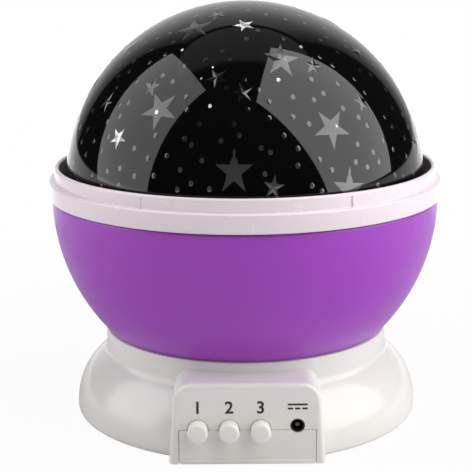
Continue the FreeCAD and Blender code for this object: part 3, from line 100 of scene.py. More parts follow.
class ProjectorColours(bpy.types.PropertyGroup):
    dome: FloatVectorProperty(
        name="Dome", description="Coat behind the dome's glossy face",
        default=(0.002, 0.002, 0.0023), size=3, subtype="COLOR", min=0, max=1)
    # The window colour is scaled by height into painted light and shade of the lit inside.
    window: FloatVectorProperty(
        name="Windows", description="Stars and dots where most of the pale inside shows through them",
        default=(0.075, 0.073, 0.074), size=3, subtype="COLOR", min=0, max=1)
    # Colour of the painted glow on the windows that stand in line, as if daylight shone through both.
    sparkle: FloatVectorProperty(
        name="Sparkle", description="Daylight through two windows that stand in line",
        default=(0.86, 0.86, 0.88), size=3, subtype="COLOR", min=0, max=1)
    ring: FloatVectorProperty(
        name="Ring", description="Rim ring plastic",
        default=(0.86, 0.76, 0.81), size=3, subtype="COLOR", min=0, max=1)
    bowl: FloatVectorProperty(
        name="Bowl", description="Bowl plastic",
        default=(0.345, 0.029, 0.52), size=3, subtype="COLOR", min=0, max=1)
    base: FloatVectorProperty(
        name="Base", description="Base plastic",
        default=(0.80, 0.785, 0.745), size=3, subtype="COLOR", min=0, max=1)
    print_ink: FloatVectorProperty(
        name="Print", description="Ink of the numbers and the power symbol",
        default=(0.022, 0.02, 0.022), size=3, subtype="COLOR", min=0, max=1)


class ProjectorStudio(bpy.types.PropertyGroup):
    left_light: FloatProperty(
        name="Left softbox", description="Radiance of the left softbox",
        default=2.05, min=0)
    right_light: FloatProperty(
        name="Right softbox", description="Radiance of the right softbox",
        default=2.9, min=0)
    fill: FloatProperty(
        name="Fill", description="Level of the soft light from all round",
        default=0.16, min=0)


# Shader maths: a wire is a socket that takes part in sums

class Wire:
    """A value inside a material. A sum or product with it adds one Math node."""

    def __init__(self, paint, socket):
        self.paint, self.socket = paint, socket

    def maths(self, operation, *values):
        return self.paint.node("ShaderNodeMath", {"operation": operation}, dict(enumerate(values)))[0]

    def __add__(self, other):
        return self.maths("ADD", self, other)

    def __sub__(self, other):
        return self.maths("SUBTRACT", self, other)

    def __rsub__(self, other):
        return self.maths("SUBTRACT", other, self)

    def __mul__(self, other):
        return self.maths("MULTIPLY", self, other)

    def __truediv__(self, other):
        return self.maths("DIVIDE", self, other)

    __radd__, __rmul__ = __add__, __mul__


class Paint:
    """The node tree of a material or of the world."""

    def __init__(self, owner):
        self.owner = owner
        owner.use_nodes = True
        self.tree = owner.node_tree

    def node(self, kind, settings=None, values=None):
        """Add a node: settings first, then the values or wires of its sockets. Gives its outputs."""
        made = self.tree.nodes.new(kind)
        for key, value in (settings or {}).items():
            if key == "stops":
                ramp = made.color_ramp
                for index, (place, colour) in enumerate(value):
                    stop = ramp.elements[index] if index < 2 else ramp.elements.new(place)
                    stop.position, stop.color = place, colour
            else:
                setattr(made, key, value)
        self.fill(made, values or {})
        return [Wire(self, socket) for socket in made.outputs]

    def fill(self, node, values):
        for key, value in values.items():
            socket = node.inputs[key]
            if isinstance(value, Wire):
                self.tree.links.new(value.socket, socket)
            elif hasattr(socket.default_value, "__len__") and len(socket.default_value) == 4:
                socket.default_value = (*value[:3], 1)
            else:
                socket.default_value = value

    def place(self):
        """Object coordinates in metres."""
        return self.node("ShaderNodeTexCoord")[3]

    def noise(self, scale, detail=2.0, vector=None):
        return self.node("ShaderNodeTexNoise", None,
                         {"Vector": vector or self.place(), "Scale": scale, "Detail": detail})[0]

    def blend(self, share, first, second):
        """A colour between two colours."""
        return self.node("ShaderNodeMix", {"data_type": "RGBA"}, {0: share, 6: first, 7: second})[2]

    def bump(self, height, depth, strength=1.0):
        return self.node("ShaderNodeBump", None, {"Height": height, "Distance": depth, "Strength": strength})[0]

    def ramp(self, value, low, high):
        """0 below low, 1 above high, smooth between."""
        return self.node("ShaderNodeMapRange", {"interpolation_type": "SMOOTHSTEP"},
                         {"Value": value, "From Min": low, "From Max": high})[0]


MATERIALS = {}


def finish_of(name, make):
    """Each finish is made once."""
    if name not in MATERIALS:
        material = bpy.data.materials.new(name)
        paint = Paint(material)
        make(paint, paint.tree.nodes["Principled BSDF"])
        MATERIALS[name] = material
    return MATERIALS[name]


def moulded(colour, roughness, grain=0.1, shift=0.06, coat=0.0, film=0.12, waves=0.00002):
    """Moulded plastic: colour that shifts a little, uneven gloss, sink waves and a fine grain."""

    def make(paint, shader):
        place = paint.place()
        cloud = paint.noise(45.0, 3.0, place)
        fine = paint.noise(2600.0, 2.0, place)
        smear = paint.noise(160.0, 4.0, place)
        darker = [part * (1 - shift) for part in colour]
        paint.fill(shader, {
            "Base Color": paint.blend(cloud, darker, colour),
            "Roughness": roughness * 0.8 + roughness * 0.4 * smear,
            "Coat Weight": coat, "Coat Roughness": film,
            "Normal": paint.bump(cloud + fine * grain, waves),
        })

    return make


def glossy_coat(paint, shader):
    """The dome's glossy black, with faint wipe marks in its gloss."""
    place = paint.place()
    streak = paint.node("ShaderNodeMapping", None, {"Vector": place, "Scale": (40.0, 40.0, 260.0)})[0]
    wipe = paint.noise(1.0, 4.0, streak)
    paint.fill(shader, {
        "Base Color": paint.blend(wipe, colours().dome, [part * 1.4 for part in colours().dome]),
        "Roughness": 0.02 + 0.03 * wipe,
        "IOR": 1.44,
        "Normal": paint.bump(paint.noise(38.0, 1.0, place), 0.00002),
    })


def window_plastic(paint, shader):
    """Bare clear plastic with painted light and shade of the inside: the lit pale tray low down, painted shade above
    it, and lighter again near the top.
    """
    place = paint.place()
    height = paint.node("ShaderNodeSeparateXYZ", None, {"Vector": place})[2]
    low, high = DOME_LOW.z, DOME_HIGH.z
    cloud = paint.noise(260.0, 3.0, place)
    # Painted light and shade by height: bright where the lit tray shows, dark above it, lighter near the top.
    shares = ((0.18, 1.0), (0.3, 0.72), (0.42, 0.42), (0.52, 0.14), (0.66, 0.1), (0.8, 0.1), (0.9, 0.6))
    tray_and_painted_shade = paint.node("ShaderNodeValToRGB", {"stops": [
        (spot, [part * share for part in colours().window] + [1]) for spot, share in shares
    ]}, {"Fac": (height - low) / (high - low)})[0]
    dim = paint.node("ShaderNodeVectorMath", {"operation": "SCALE"}, {0: tray_and_painted_shade, "Scale": 0.6})[0]
    paint.fill(shader, {
        "Base Color": paint.blend(cloud, dim, tray_and_painted_shade),
        "Roughness": 0.04 + 0.08 * cloud,
        "IOR": 1.85,
        "Normal": paint.bump(cloud, 0.00003),
    })


def sparkle_plastic(paint, shader):
    """Painted glow: a clear window made to emit light as if daylight shone behind it, a little uneven."""
    cloud = paint.ramp(paint.noise(700.0, 1.0), 0.44, 0.62)
    dim = [part * 0.3 for part in colours().sparkle]
    paint.fill(shader, {
        "Base Color": (0.1, 0.1, 0.1), "Roughness": 0.05 + 0.1 * cloud,
        # The emission is a painted glow; the window is no lamp.
        "Emission Color": paint.blend(cloud, dim, colours().sparkle), "Emission Strength": 1.0,
    })


def metal(colour, roughness, lines=900.0):
    """Plated or drawn metal with fine lines and a little tarnish."""

    def make(paint, shader):
        place = paint.place()
        stretched = paint.node("ShaderNodeMapping", None, {"Vector": place, "Scale": (1.0, 1.0, 0.08)})[0]
        line = paint.noise(lines, 2.0, stretched)
        tarnish = paint.noise(220.0, 4.0, place)
        paint.fill(shader, {
            "Base Color": paint.blend(tarnish, [part * 0.8 for part in colour], colour),
            "Metallic": 1.0,
            "Roughness": roughness * 0.7 + roughness * 0.6 * line,
            "Normal": paint.bump(line, 0.000004),
        })

    return make


def laminate(paint, shader):
    """Circuit board: green varnish over a weave, with paler tracks."""
    place = paint.place()
    weave = paint.node("ShaderNodeTexWave", {"wave_type": "BANDS", "bands_direction": "DIAGONAL"},
                       {"Vector": place, "Scale": 900.0, "Distortion": 1.0})[1]
    track = paint.ramp(paint.noise(420.0, 0.0, place), 0.52, 0.56)
    paint.fill(shader, {
        "Base Color": paint.blend(track, (0.02, 0.13, 0.05), (0.05, 0.26, 0.1)),
        "Roughness": 0.3 + 0.1 * weave,
        "Normal": paint.bump(track + 0.3 * weave, 0.00002),
    })


def cell_jacket(paint, shader):
    """Cell jacket: dark sleeve with a copper-coloured band at its positive end."""
    place = paint.place()
    across = paint.node("ShaderNodeSeparateXYZ", None, {"Vector": place})[0]
    band = paint.ramp(across, 0.0118, 0.0122)
    scuff = paint.noise(300.0, 4.0, place)
    paint.fill(shader, {
        "Base Color": paint.blend(band, (0.03, 0.035, 0.045), (0.5, 0.26, 0.1)),
        "Roughness": 0.2 + 0.15 * scuff,
        "Normal": paint.bump(scuff, 0.00001),
    })


def rubber(paint, shader):
    place = paint.place()
    grain = paint.noise(1800.0, 3.0, place)
    paint.fill(shader, {
        "Base Color": paint.blend(grain, (0.36, 0.36, 0.36), (0.47, 0.47, 0.46)),
        "Roughness": 0.65 + 0.2 * grain,
        "Normal": paint.bump(grain, 0.00003),
    })


# Modelling by operators

def settings():
    return bpy.context.scene.projector_sizes


def colours():
    return bpy.context.scene.projector_colours


def clear():
    """Leave edit mode with nothing selected."""
    if bpy.context.object and bpy.context.object.mode != "OBJECT":
        bpy.ops.object.mode_set(mode="OBJECT")
    bpy.ops.object.select_all(action="DESELECT")


def pick(*pieces):
    """Select these pieces alone. The last one is active."""
    clear()
    for piece in pieces:
        piece.select_set(True)
    bpy.context.view_layer.objects.active = pieces[-1]
    return pieces[-1]


def settle(piece):
    """Put the piece's place into its mesh."""
    pick(piece)
    bpy.ops.object.transform_apply(location=True, rotation=True, scale=True)
    return piece


def edit(piece):
    pick(piece)
    bpy.ops.object.mode_set(mode="EDIT")
    bpy.ops.mesh.select_mode(type="VERT")
    bpy.ops.mesh.select_all(action="SELECT")


def choose(piece, kind, wanted):
    """In edit mode, select the faces, edges or vertices that pass a test."""
    bpy.ops.mesh.select_all(action="DESELECT")
    bpy.ops.mesh.select_mode(type={"faces": "FACE", "edges": "EDGE", "verts": "VERT"}[kind])
    mesh = bmesh.from_edit_mesh(piece.data)
    for item in getattr(mesh, kind):
        if wanted(item):
            item.select_set(True)
    mesh.select_flush_mode()
    bmesh.update_edit_mesh(piece.data)


def spot_of(node):
    """Middle of a CAD node's box, in millimetres."""
    low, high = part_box(node)
    return (low + high) / 2 / MM


def middle(item):
    """Middle of a face or an edge, in millimetres."""
    if isinstance(item, bmesh.types.BMFace):
        return item.calc_center_median() / MM
    return sum((corner.co for corner in item.verts), Vector()) / len(item.verts) / MM


def modified(piece, kind, **values):
    """Add a modifier, set it and apply it."""
    pick(piece)
    made = piece.modifiers.new(kind, kind)
    for key, value in values.items():
        setattr(made, key, value)
    bpy.ops.object.modifier_apply(modifier=made.name)
    return piece


def carve(piece, *tools):
    """Cut the tools out of the piece and remove them."""
    for tool in tools:
        modified(piece, "BOOLEAN", operation="DIFFERENCE", solver="EXACT", object=tool)
        bpy.data.objects.remove(tool)
    return piece


def merged(name, pieces):
    pick(*pieces)
    if len(pieces) > 1:
        bpy.ops.object.join()
    made = bpy.context.object
    made.name = name
    made.data.name = name
    return made


def tidied(piece):
    """Merge corners that meet, and turn all faces outwards."""
    edit(piece)
    bpy.ops.mesh.remove_doubles(threshold=0.002 * MM)
    bpy.ops.mesh.select_all(action="SELECT")
    bpy.ops.mesh.normals_make_consistent(inside=False)
    bpy.ops.object.mode_set(mode="OBJECT")
    return piece


def smooth(piece, angle=32.0):
    pick(piece)
    bpy.ops.object.shade_smooth_by_angle(angle=math.radians(angle))
    return piece


def path(name, points):
    """One vertex, extruded through the points (millimetres). Leaves the piece in edit mode."""
    clear()
    start = Vector(points[0]) * MM
    bpy.ops.mesh.primitive_plane_add(size=MM, location=start)
    piece = bpy.context.object
    piece.name = name
    settle(piece)
    edit(piece)
    bpy.ops.mesh.merge(type="CENTER")
    for before, after in zip(points, points[1:]):
        step = (Vector(after) - Vector(before)) * MM
        bpy.ops.mesh.extrude_region_move(TRANSFORM_OT_translate={"value": step})
    bpy.ops.mesh.select_all(action="SELECT")
    return piece


def turned(name, outline, steps=192, closed=True):
    """Spin an outline of radius and height about the upright axis."""
    outline = list(outline) + ([outline[0]] if closed else [])
    piece = path(name, [(radius, 0, height) for radius, height in outline])
    bpy.ops.mesh.remove_doubles(threshold=0.002 * MM)
    bpy.ops.mesh.spin(steps=steps, angle=2 * math.pi, center=(0, 0, 0), axis=(0, 0, 1))
    bpy.ops.mesh.select_all(action="SELECT")
    bpy.ops.mesh.remove_doubles(threshold=0.002 * MM)
    bpy.ops.mesh.normals_make_consistent(inside=False)
    bpy.ops.object.mode_set(mode="OBJECT")
    return piece


def slab(name, outline, front, depth):
    """An outline of across and height, filled at the front and extruded backwards."""
    points = [(across, front, height) for across, height in outline]
    piece = path(name, points + points[:1])
    bpy.ops.mesh.remove_doubles(threshold=0.002 * MM)
    bpy.ops.mesh.edge_face_add()
    bpy.ops.mesh.extrude_region_move(TRANSFORM_OT_translate={"value": (0, depth * MM, 0)})
    bpy.ops.mesh.select_all(action="SELECT")
    bpy.ops.mesh.normals_make_consistent(inside=False)
    bpy.ops.object.mode_set(mode="OBJECT")
    return piece


def softened(corners, steps=5):
    """Round the corners of an outline. A corner's third entry is its radius."""
    points = []
    for index, corner in enumerate(corners):
        here = Vector(corner[:2])
        radius = corner[2] if len(corner) > 2 else 0
        if not radius:
            points.append(tuple(here))
            continue
        back = (Vector(corners[index - 1][:2]) - here).normalized()
        ahead = (Vector(corners[(index + 1) % len(corners)][:2]) - here).normalized()
        half = back.angle(ahead) / 2
        centre = here + (back + ahead).normalized() * radius / math.sin(half)
        start = here + back * radius / math.tan(half) - centre
        sweep = start.angle_signed(here + ahead * radius / math.tan(half) - centre)
        for step in range(steps + 1):
            turn = Matrix.Rotation(-sweep * step / steps, 2)
            points.append(tuple(centre + turn @ start))
    return points


def arc(centre, radius, first, last, steps):
    """Points on an arc, from one angle to another in degrees."""
    spots = []
    for step in range(steps + 1):
        angle = math.radians(first + (last - first) * step / steps)
        spots.append((centre[0] + radius * math.cos(angle), centre[1] + radius * math.sin(angle)))
    return spots


def hub_of(start, end, radius):
    """Middle of the arc that bulges to the right of the way from start to end."""
    chord = end - start
    side = Vector((-chord.y, chord.x)).normalized()
    return (start + end) / 2 + side * math.sqrt(radius**2 - (chord.length / 2) ** 2)


def bearing(centre, point):
    return math.degrees(math.atan2(point.y - centre.y, point.x - centre.x))


def rod(name, radius, start, end, sides=48):
    """A cylinder from one point to another, in millimetres."""
    clear()
    start, end = Vector(start) * MM, Vector(end) * MM
    bpy.ops.mesh.primitive_cylinder_add(
        vertices=sides, radius=radius * MM, depth=(end - start).length, location=(start + end) / 2,
        rotation=(end - start).to_track_quat("Z", "Y").to_euler())
    piece = bpy.context.object
    piece.name = name
    return settle(piece)


def brick(name, low, high):
    clear()
    low, high = Vector(low) * MM, Vector(high) * MM
    bpy.ops.mesh.primitive_cube_add(size=1, location=(low + high) / 2, scale=high - low)
    piece = bpy.context.object
    piece.name = name
    return settle(piece)


def copied(piece, place, name):
    """A copy with its own mesh, set by a matrix."""
    pick(piece)
    bpy.ops.object.duplicate(linked=False)
    copy = bpy.context.object
    copy.name = name
    copy.matrix_world = place
    return settle(copy)


def dress(piece, body, finish, stands_for=()):
    """Give a new piece its finish and its body, and hide the CAD nodes that it stands for."""
    piece.data.materials.clear()
    piece.data.materials.append(finish)
    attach(piece, body)
    if stands_for:
        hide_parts(*stands_for)
    return piece


def dress_node(name, finish):
    """Give a CAD node its finish."""
    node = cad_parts[name]
    if not node.data.materials:
        node.data.materials.append(finish)
    for slot in node.material_slots:
        slot.material = finish


# Directions of the stars: degrees right of the front, degrees up from the ball's middle, turn
LARGE_STARS = [(-3.5, 13.3, 0), (-30, 30.4, 38), (28.2, 24.6, 40), (15.6, 47.8, 12), (-33.6, 61.5, 40),
               (31.2, 6.4, 8)]
SMALL_STARS = [(-36.7, 37.4, 0), (-43.9, 20.7, 30), (-56.7, 30.7, 15), (-0.4, 64.2, 50), (29.1, 44.9, 20),
               (44, 31.4, 0), (-10.9, 41.5, 40), (7.8, 8.8, 10), (-25.1, 70.2, 25), (-1.2, 36.5, 60)]
# Windows that stand in line with one behind them, seen from the front; they get a painted glow. Third value: size
# beside a dot
SPARKLES = [(-31, 51.6, 0.7), (-23.4, 55.5, 0.55), (-10, 55.5, 0.55), (-13.4, 45.3, 0.65), (-6.9, 44.5, 0.5),
            (-17, 41.2, 0.65), (-13.1, 36.5, 0.5), (-12, 32.3, 0.75), (3.1, 49, 0.45), (17.9, 59.9, 0.45),
            (18.5, 63.8, 0.45), (32.2, 60.1, 0.5), (31.3, 56.2, 0.6), (28.3, 52.7, 0.75), (12.6, 40.7, 0.85),
            (55, 32.6, 0.55), (67.4, 27.3, 0.5), (59, 45.1, 0.5), (17.4, 47.7, 0.5), (30, 25.2, 0.65),
            (-30.7, 29.6, 0.8)]
# Stars that get the same painted glow
LIT_STARS = [(-0.4, 64.2), (-43.9, 20.7)]
for number in range(9):
    LARGE_STARS.append((72 + 27 * number, 14 + 18 * (number % 3), 23 * number))
    SMALL_STARS.append((63 + 27 * number, 34 + 14 * ((number + 1) % 3), 31 * number))


def facing(aside, above, turn, reach):
    """Matrix that lays a flat piece on the dome, facing out."""
    aim = (Matrix.Rotation(math.radians(aside), 4, "Z") @ Matrix.Rotation(math.radians(90 - above), 4, "X")
           @ Matrix.Scale(settings().window_stretch, 4, (0, 1, 0)) @ Matrix.Rotation(math.radians(-turn), 4, "Z"))
    centre = Vector((0, 0, settings().dome_centre))
    return Matrix.Translation(centre + aim @ Vector((0, 0, reach))) @ aim


def outward(aside, above):
    aside, above = math.radians(aside), math.radians(above)
    return Vector((math.sin(aside) * math.cos(above), -math.cos(aside) * math.cos(above), math.sin(above)))


class PROJECTOR_OT_star_dome(bpy.types.Operator):
    """Turn the thin ball dome with its flange"""
    bl_idname = "projector.star_dome"
    bl_label = "Star dome"

    def execute(self, context):
        radius, centre = settings().dome_radius / MM, settings().dome_centre / MM
        foot, wall, flange, seat = DOME_LOW.z / MM, 1.8, 2.0, DOME_HIGH.x / MM
        outline = [(radius - wall, foot), (seat, foot), (seat, foot + flange), (radius, foot + flange)]
        outline += arc((0, centre), radius, 0, 90, 84)
        outline += arc((0, centre), radius - wall, 90, 0, 36)
        outline[4 + 84] = (0, centre + radius)
        outline[4 + 85] = (0, centre + radius - wall)
        # The axis itself is left open, so the two poles close by merging
        upper = outline[:4 + 85]
        lower = outline[4 + 85:] + [outline[0]]
        parts = [turned("dome_outside", upper, 256, closed=False), turned("dome_inside", lower, 256, closed=False)]
        dome = merged("dome_shell", parts)
        edit(dome)
        bpy.ops.mesh.remove_doubles(threshold=0.002 * MM)
        bpy.ops.mesh.normals_make_consistent(inside=False)
        smooth(dome)
        dress(dome, "head", finish_of("dome_black", glossy_coat), ["star_dome"])
        return {"FINISHED"}


class PROJECTOR_OT_star_windows(bpy.types.Operator):
    """Lay the star and dot windows on the dome"""
    bl_idname = "projector.star_windows"
    bl_label = "Star windows"

    def execute(self, context):
        sizes = settings()
        dome = bpy.data.objects["dome_shell"]
        stars, lit = [], []
        patterns = (("large", sizes.large_star, LARGE_STARS), ("small", sizes.small_star, SMALL_STARS))
        for kind, reach, places in patterns:
            clear()
            bpy.ops.mesh.primitive_circle_add(vertices=10, radius=reach, fill_type="TRIFAN")
            pattern = bpy.context.object
            edit(pattern)
            # Every second rim corner is drawn in to the star's waist
            choose(pattern, "verts", lambda spot: spot.co.length > reach / 2
                   and round(math.degrees(math.atan2(spot.co.x, spot.co.y)) / 36) % 2)
            bpy.ops.transform.resize(value=(sizes.star_waist, sizes.star_waist, 1), center_override=(0, 0, 0))
            for index, (aside, above, turn) in enumerate(places):
                lie = facing(aside, above, turn, sizes.dome_radius + 0.6 * MM)
                star = copied(pattern, lie, f"{kind}_star_{index}")
                (lit if (aside, above) in LIT_STARS else stars).append(star)
            bpy.data.objects.remove(pattern)
        window_painted_inside_finish = finish_of("window_plastic", window_plastic)
        painted_glow_finish = finish_of("sparkle_plastic", sparkle_plastic)
        swell = 1 + sizes.star_crown / sizes.dome_radius
        # The stars listed as lit get the painted glow, not the window colour.
        for name, group, finish in (("star_windows", stars, window_painted_inside_finish), ("lit_stars", lit, painted_glow_finish)):
            windows = merged(name, group)
            modified(windows, "SHRINKWRAP", target=dome, wrap_method="NEAREST_SURFACEPOINT", offset=0.05 * MM)
            edit(windows)
            choose(windows, "verts", lambda spot: len(spot.link_edges) == 10)
            bpy.ops.transform.resize(value=(swell, swell, swell), center_override=(0, 0, sizes.dome_centre))
            modified(windows, "SOLIDIFY", thickness=0.35 * MM, offset=-1, use_even_offset=True)
            pick(windows)
            bpy.ops.object.shade_flat()
            dress(windows, "head", finish)

        # Dots: a shallow lens, modelled once
        clear()
        bpy.ops.mesh.primitive_cylinder_add(vertices=12, radius=sizes.dot_radius, depth=0.3 * MM)
        lens = bpy.context.object
        edit(lens)
        choose(lens, "faces", lambda face: face.normal.z > 0.9)
        for inset, lift in ((0.3, 0.03), (0.28, 0.012)):
            bpy.ops.mesh.inset(thickness=sizes.dot_radius * inset, depth=lift * MM)
        dots, sparkles = [], []
        rng = random.Random(11)
        taken = [(outward(aside, above), sizes.large_star) for aside, above, turn in LARGE_STARS]
        taken += [(outward(aside, above), sizes.small_star) for aside, above, turn in SMALL_STARS]
        for index, (aside, above, share) in enumerate(SPARKLES):
            way = outward(aside, above)
            on_star = any(way.angle(star) * sizes.dome_radius < reach / 2 for star, reach in taken)
            lift = sizes.star_crown + 0.05 * MM if on_star else 0
            lie = facing(aside, above, 0, sizes.dome_radius - 0.12 * MM + lift) @ Matrix.Scale(share, 4)
            sparkles.append(copied(lens, lie, f"sparkle_{index}"))
        taken += [(outward(aside, above), 1.2 * MM) for aside, above, share in SPARKLES]
        count = sizes.dot_count
        for index in range(count):
            above = math.degrees(math.asin((index + 0.5) / count)) + rng.uniform(-1.6, 1.6)
            aside = index * 137.50776 + rng.uniform(-1.8, 1.8) / max(math.cos(math.radians(above)), 0.15)
            if above < 2 or above > 86:
                continue
            way = outward(aside, above)
            if any(way.angle(star) * sizes.dome_radius < reach + 1.3 * MM for star, reach in taken):
                continue
            lie = facing(aside, above, 0, sizes.dome_radius - 0.15 * MM)
            dots.append(copied(lens, lie, f"dot_{index}"))
        bpy.data.objects.remove(lens)
        # The sparkle dots get the painted glow.
        for name, group, finish in (("dot_windows", dots, window_painted_inside_finish), ("sparkle_dots", sparkles, painted_glow_finish)):
            dress(smooth(merged(name, group), 40), "head", finish)
        return {"FINISHED"}


class PROJECTOR_OT_rim_ring(bpy.types.Operator):
    """Turn the pale ring with its band, ledge and lip, and set its ribs"""
    bl_idname = "projector.rim_ring"
    bl_label = "Rim ring"

    def execute(self, context):
        foot = RING_LOW.z / MM
        inner, spigot, upper, outer, shelf = 61.3, 62.6, 62.9, RING_HIGH.x / MM, 59.7
        low, top = foot + 3.1, RING_HIGH.z / MM
        band = low + 5.9
        outline = softened([
            (inner, foot, 0.2), (spigot, foot, 0.2), (spigot, low), (outer, low, 0.5), (outer, band, 0.5),
            (upper, band, 0.25), (upper, top, 0.79), (inner, top, 0.79),
            (inner, foot + 5.3), (shelf, foot + 5.3, 0.2), (shelf, foot + 3.5, 0.2), (inner, foot + 3.5),
        ], 6)
        ring = turned("ring_band", outline, 224)
        ribs = []
        rib = brick("rib", (upper - 0.6, -0.45, band - 0.5), (upper + 0.3, 0.45, top - 0.8))
        modified(rib, "BEVEL", width=0.15 * MM, segments=3)
        for number in range(6):
            ribs.append(copied(rib, Matrix.Rotation(math.radians(60 * number), 4, "Z"), f"rib_{number}"))
        bpy.data.objects.remove(rib)
        ring = smooth(merged("ring_shell", ribs + [ring]))
        finish = finish_of("ring_plastic", moulded(colours().ring, 0.26, coat=0.2))
        dress(ring, "head", finish, ["rim_ring"])
        return {"FINISHED"}


class PROJECTOR_OT_bowl(bpy.types.Operator):
    """Turn the satin bowl with its ledge"""
    bl_idname = "projector.bowl"
    bl_label = "Bowl"

    def execute(self, context):
        foot, top, radius = BOWL_LOW.z / MM, BOWL_HIGH.z / MM, BOWL_HIGH.x / MM
        centre, wall, hub = top - 0.3, 2.0, 9.1
        low = -math.degrees(math.asin((centre - foot) / radius))
        inside = radius - wall
        low_inside = -math.degrees(math.asin((centre - foot - wall) / inside))
        outline = [(hub, foot)] + arc((0, centre), radius, low, -0.3, 60)
        outline += [(radius, top - 0.45), (radius - 0.15, top - 0.12), (radius - 0.5, top)]
        outline += [(62.8, top), (62.8, top - 2.9), (inside - 3.3, top - 2.9), (inside - 3.3, top - 3.8)]
        outline += arc((0, centre), inside, -6, low_inside, 24)
        outline += [(hub, foot + wall)]
        bowl = smooth(turned("bowl_shell", outline, 224))
        satin = moulded(colours().bowl, 0.42, grain=0.25, shift=0.05, coat=0.35, film=0.28)
        finish = finish_of("bowl_plastic", satin)
        dress(bowl, "head", finish, ["bowl"])
        return {"FINISHED"}


class PROJECTOR_OT_base_shell(bpy.types.Operator):
    """Turn the flared skirt and add the control housing with its room and holes"""
    bl_idname = "projector.base_shell"
    bl_label = "Base shell"

    def execute(self, context):
        foot, top = SHELL_LOW.z / MM, SHELL_HIGH.z / MM
        front, radius, neck, wall = SHELL_LOW.y / MM, SHELL_HIGH.x / MM, 47.2, 2.0
        edge, flare, crease = 1.6, 21.4, 3.0
        start, end = Vector((radius, foot + edge)), Vector((47.9, top - 8.6))
        centre = hub_of(start, end, flare)
        beside = neck + crease - centre.x
        hollow = Vector((neck + crease, centre.y + math.sqrt((flare + crease) ** 2 - beside**2)))
        tangent = bearing(centre, hollow)
        outline = [(52.9, foot)] + arc((radius - edge, foot + edge), edge, -90, 0, 8)
        outline += arc(centre, flare, bearing(centre, start), tangent, 28)[1:]
        outline += arc(hollow, crease, 180 + tangent, 180, 10)[1:]
        outline += [(neck, top - 0.6), (neck - 0.17, top - 0.17), (neck - 0.6, top)]
        outline += [(35.6, top), (35.6, top - 3.2), (36.8, top - 3.2), (36.8, top - wall), (neck - wall, top - wall)]
        inner_start, inner_end = Vector((radius - wall, foot + 5.2)), Vector((47.9 - wall, top - 9.1))
        centre = hub_of(inner_start, inner_end, flare)
        outline += arc(centre, flare, bearing(centre, inner_end), bearing(centre, inner_start), 12)
        outline += [(52.9, foot + 2.3)]
        skirt = turned("skirt", outline, 224)
        half, top_half, corner, high, depth = 24.0, 22.25, 5.5, foot + 25.5, 19.3
        housing = slab("housing", softened([
            (-half, foot), (half, foot), (top_half, high, corner), (-top_half, high, corner)], 8), front, depth)
        edit(housing)
        choose(housing, "edges", lambda edge: all(abs(corner.co.y / MM - front) < 0.01 for corner in edge.verts)
               and middle(edge).z > foot + 0.01)
        bpy.ops.mesh.bevel(offset=1.6 * MM, segments=6, affect="EDGES")
        bpy.ops.object.mode_set(mode="OBJECT")
        jack, seam, side = spot_of("dc_jack_pin"), spot_of("colour_button").z, 21
        room = ((-side, front - 1, foot - 1), (side, front + 22, seam))
        inside = ((-side, front + wall, foot - 1), (side, front + 21, 24))
        carve(skirt, brick("skirt_room", *room), brick("skirt_inside", *inside))
        carve(housing, brick("room", *room))
        holes = [rod("hole_" + node, 3.25, (spot_of(node).x, front - 1, seam), (spot_of(node).x, front + 5, seam))
                 for node in BUTTONS]
        holes.append(rod("jack_hole", 2.25, (jack.x, front - 1, jack.z), (jack.x, front + 8, jack.z)))
        carve(housing, *holes)
        shell = smooth(merged("base_body", [tidied(housing), tidied(skirt)]))
        finish = finish_of("base_plastic", moulded(colours().base, 0.22, coat=0.25, shift=0.03))
        dress(shell, "base", finish, ["base_shell"])
        return {"FINISHED"}


class PROJECTOR_OT_push_buttons(bpy.types.Operator):
    """Make the three push buttons"""
    bl_idname = "projector.push_buttons"
    bl_label = "Push buttons"

    def execute(self, context):
        for node, body in BUTTONS.items():
            (low, high), (across, _, height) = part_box(node), spot_of(node)
            front, back, seat = low.y / MM, high.y / MM, SHELL_LOW.y / MM + 2.3
            cap = rod("cap", 3.1, (across, front, height), (across, seat + 0.3, height), 64)
            edit(cap)
            choose(cap, "faces", lambda face: face.normal.y < -0.9)
            bpy.ops.mesh.bevel(offset=0.9 * MM, segments=6, affect="EDGES")
            flange = rod("flange", 4.0, (across, seat, height), (across, seat + 1.1, height), 48)
            stem = rod("stem", 1.5, (across, seat + 0.6, height), (across, back, height), 32)
            button = smooth(merged(node + "_cap", [flange, stem, cap]))
            finish = finish_of("button_plastic", moulded([part * 1.06 for part in colours().base], 0.2, coat=0.3))
            dress(button, body, finish, [node])
        return {"FINISHED"}


class PROJECTOR_OT_panel_marks(bpy.types.Operator):
    """Print plain numbers over the buttons and a direct current symbol over the jack"""
    bl_idname = "projector.panel_marks"
    bl_label = "Panel marks"

    def execute(self, context):
        front, marks = SHELL_LOW.y / MM, []
        height = settings().mark_height / MM
        for number, node in enumerate(BUTTONS):
            clear()
            bpy.ops.object.text_add(rotation=(math.pi / 2, 0, 0))
            text = bpy.context.object
            text.data.body = str(number + 1)
            text.data.align_x = "CENTER"
            text.data.size = height * 1.42 * MM
            text.data.extrude = 0.05 * MM
            text.data.offset = 0.11 * MM
            text.data.resolution_u = 6
            pick(text)
            bpy.ops.object.convert(target="MESH")
            text = bpy.context.object
            text.location = Vector((spot_of(node).x, front, 16.9)) * MM
            marks.append(settle(text))
        x, z = spot_of("dc_jack_pin").x, 18.9
        marks.append(brick("bar", (x - 3, front - 0.05, z + 0.4), (x + 3, front + 0.05, z + 0.98)))
        for step in (-1, 0, 1):
            marks.append(brick(f"dash_{step}", (x + 2.22 * step - 0.78, front - 0.05, z - 0.88),
                               (x + 2.22 * step + 0.78, front + 0.05, z - 0.3)))
        marks = tidied(merged("panel_marks", marks))
        dress(marks, "base", finish_of("print_ink", moulded(colours().print_ink, 0.5)))
        return {"FINISHED"}


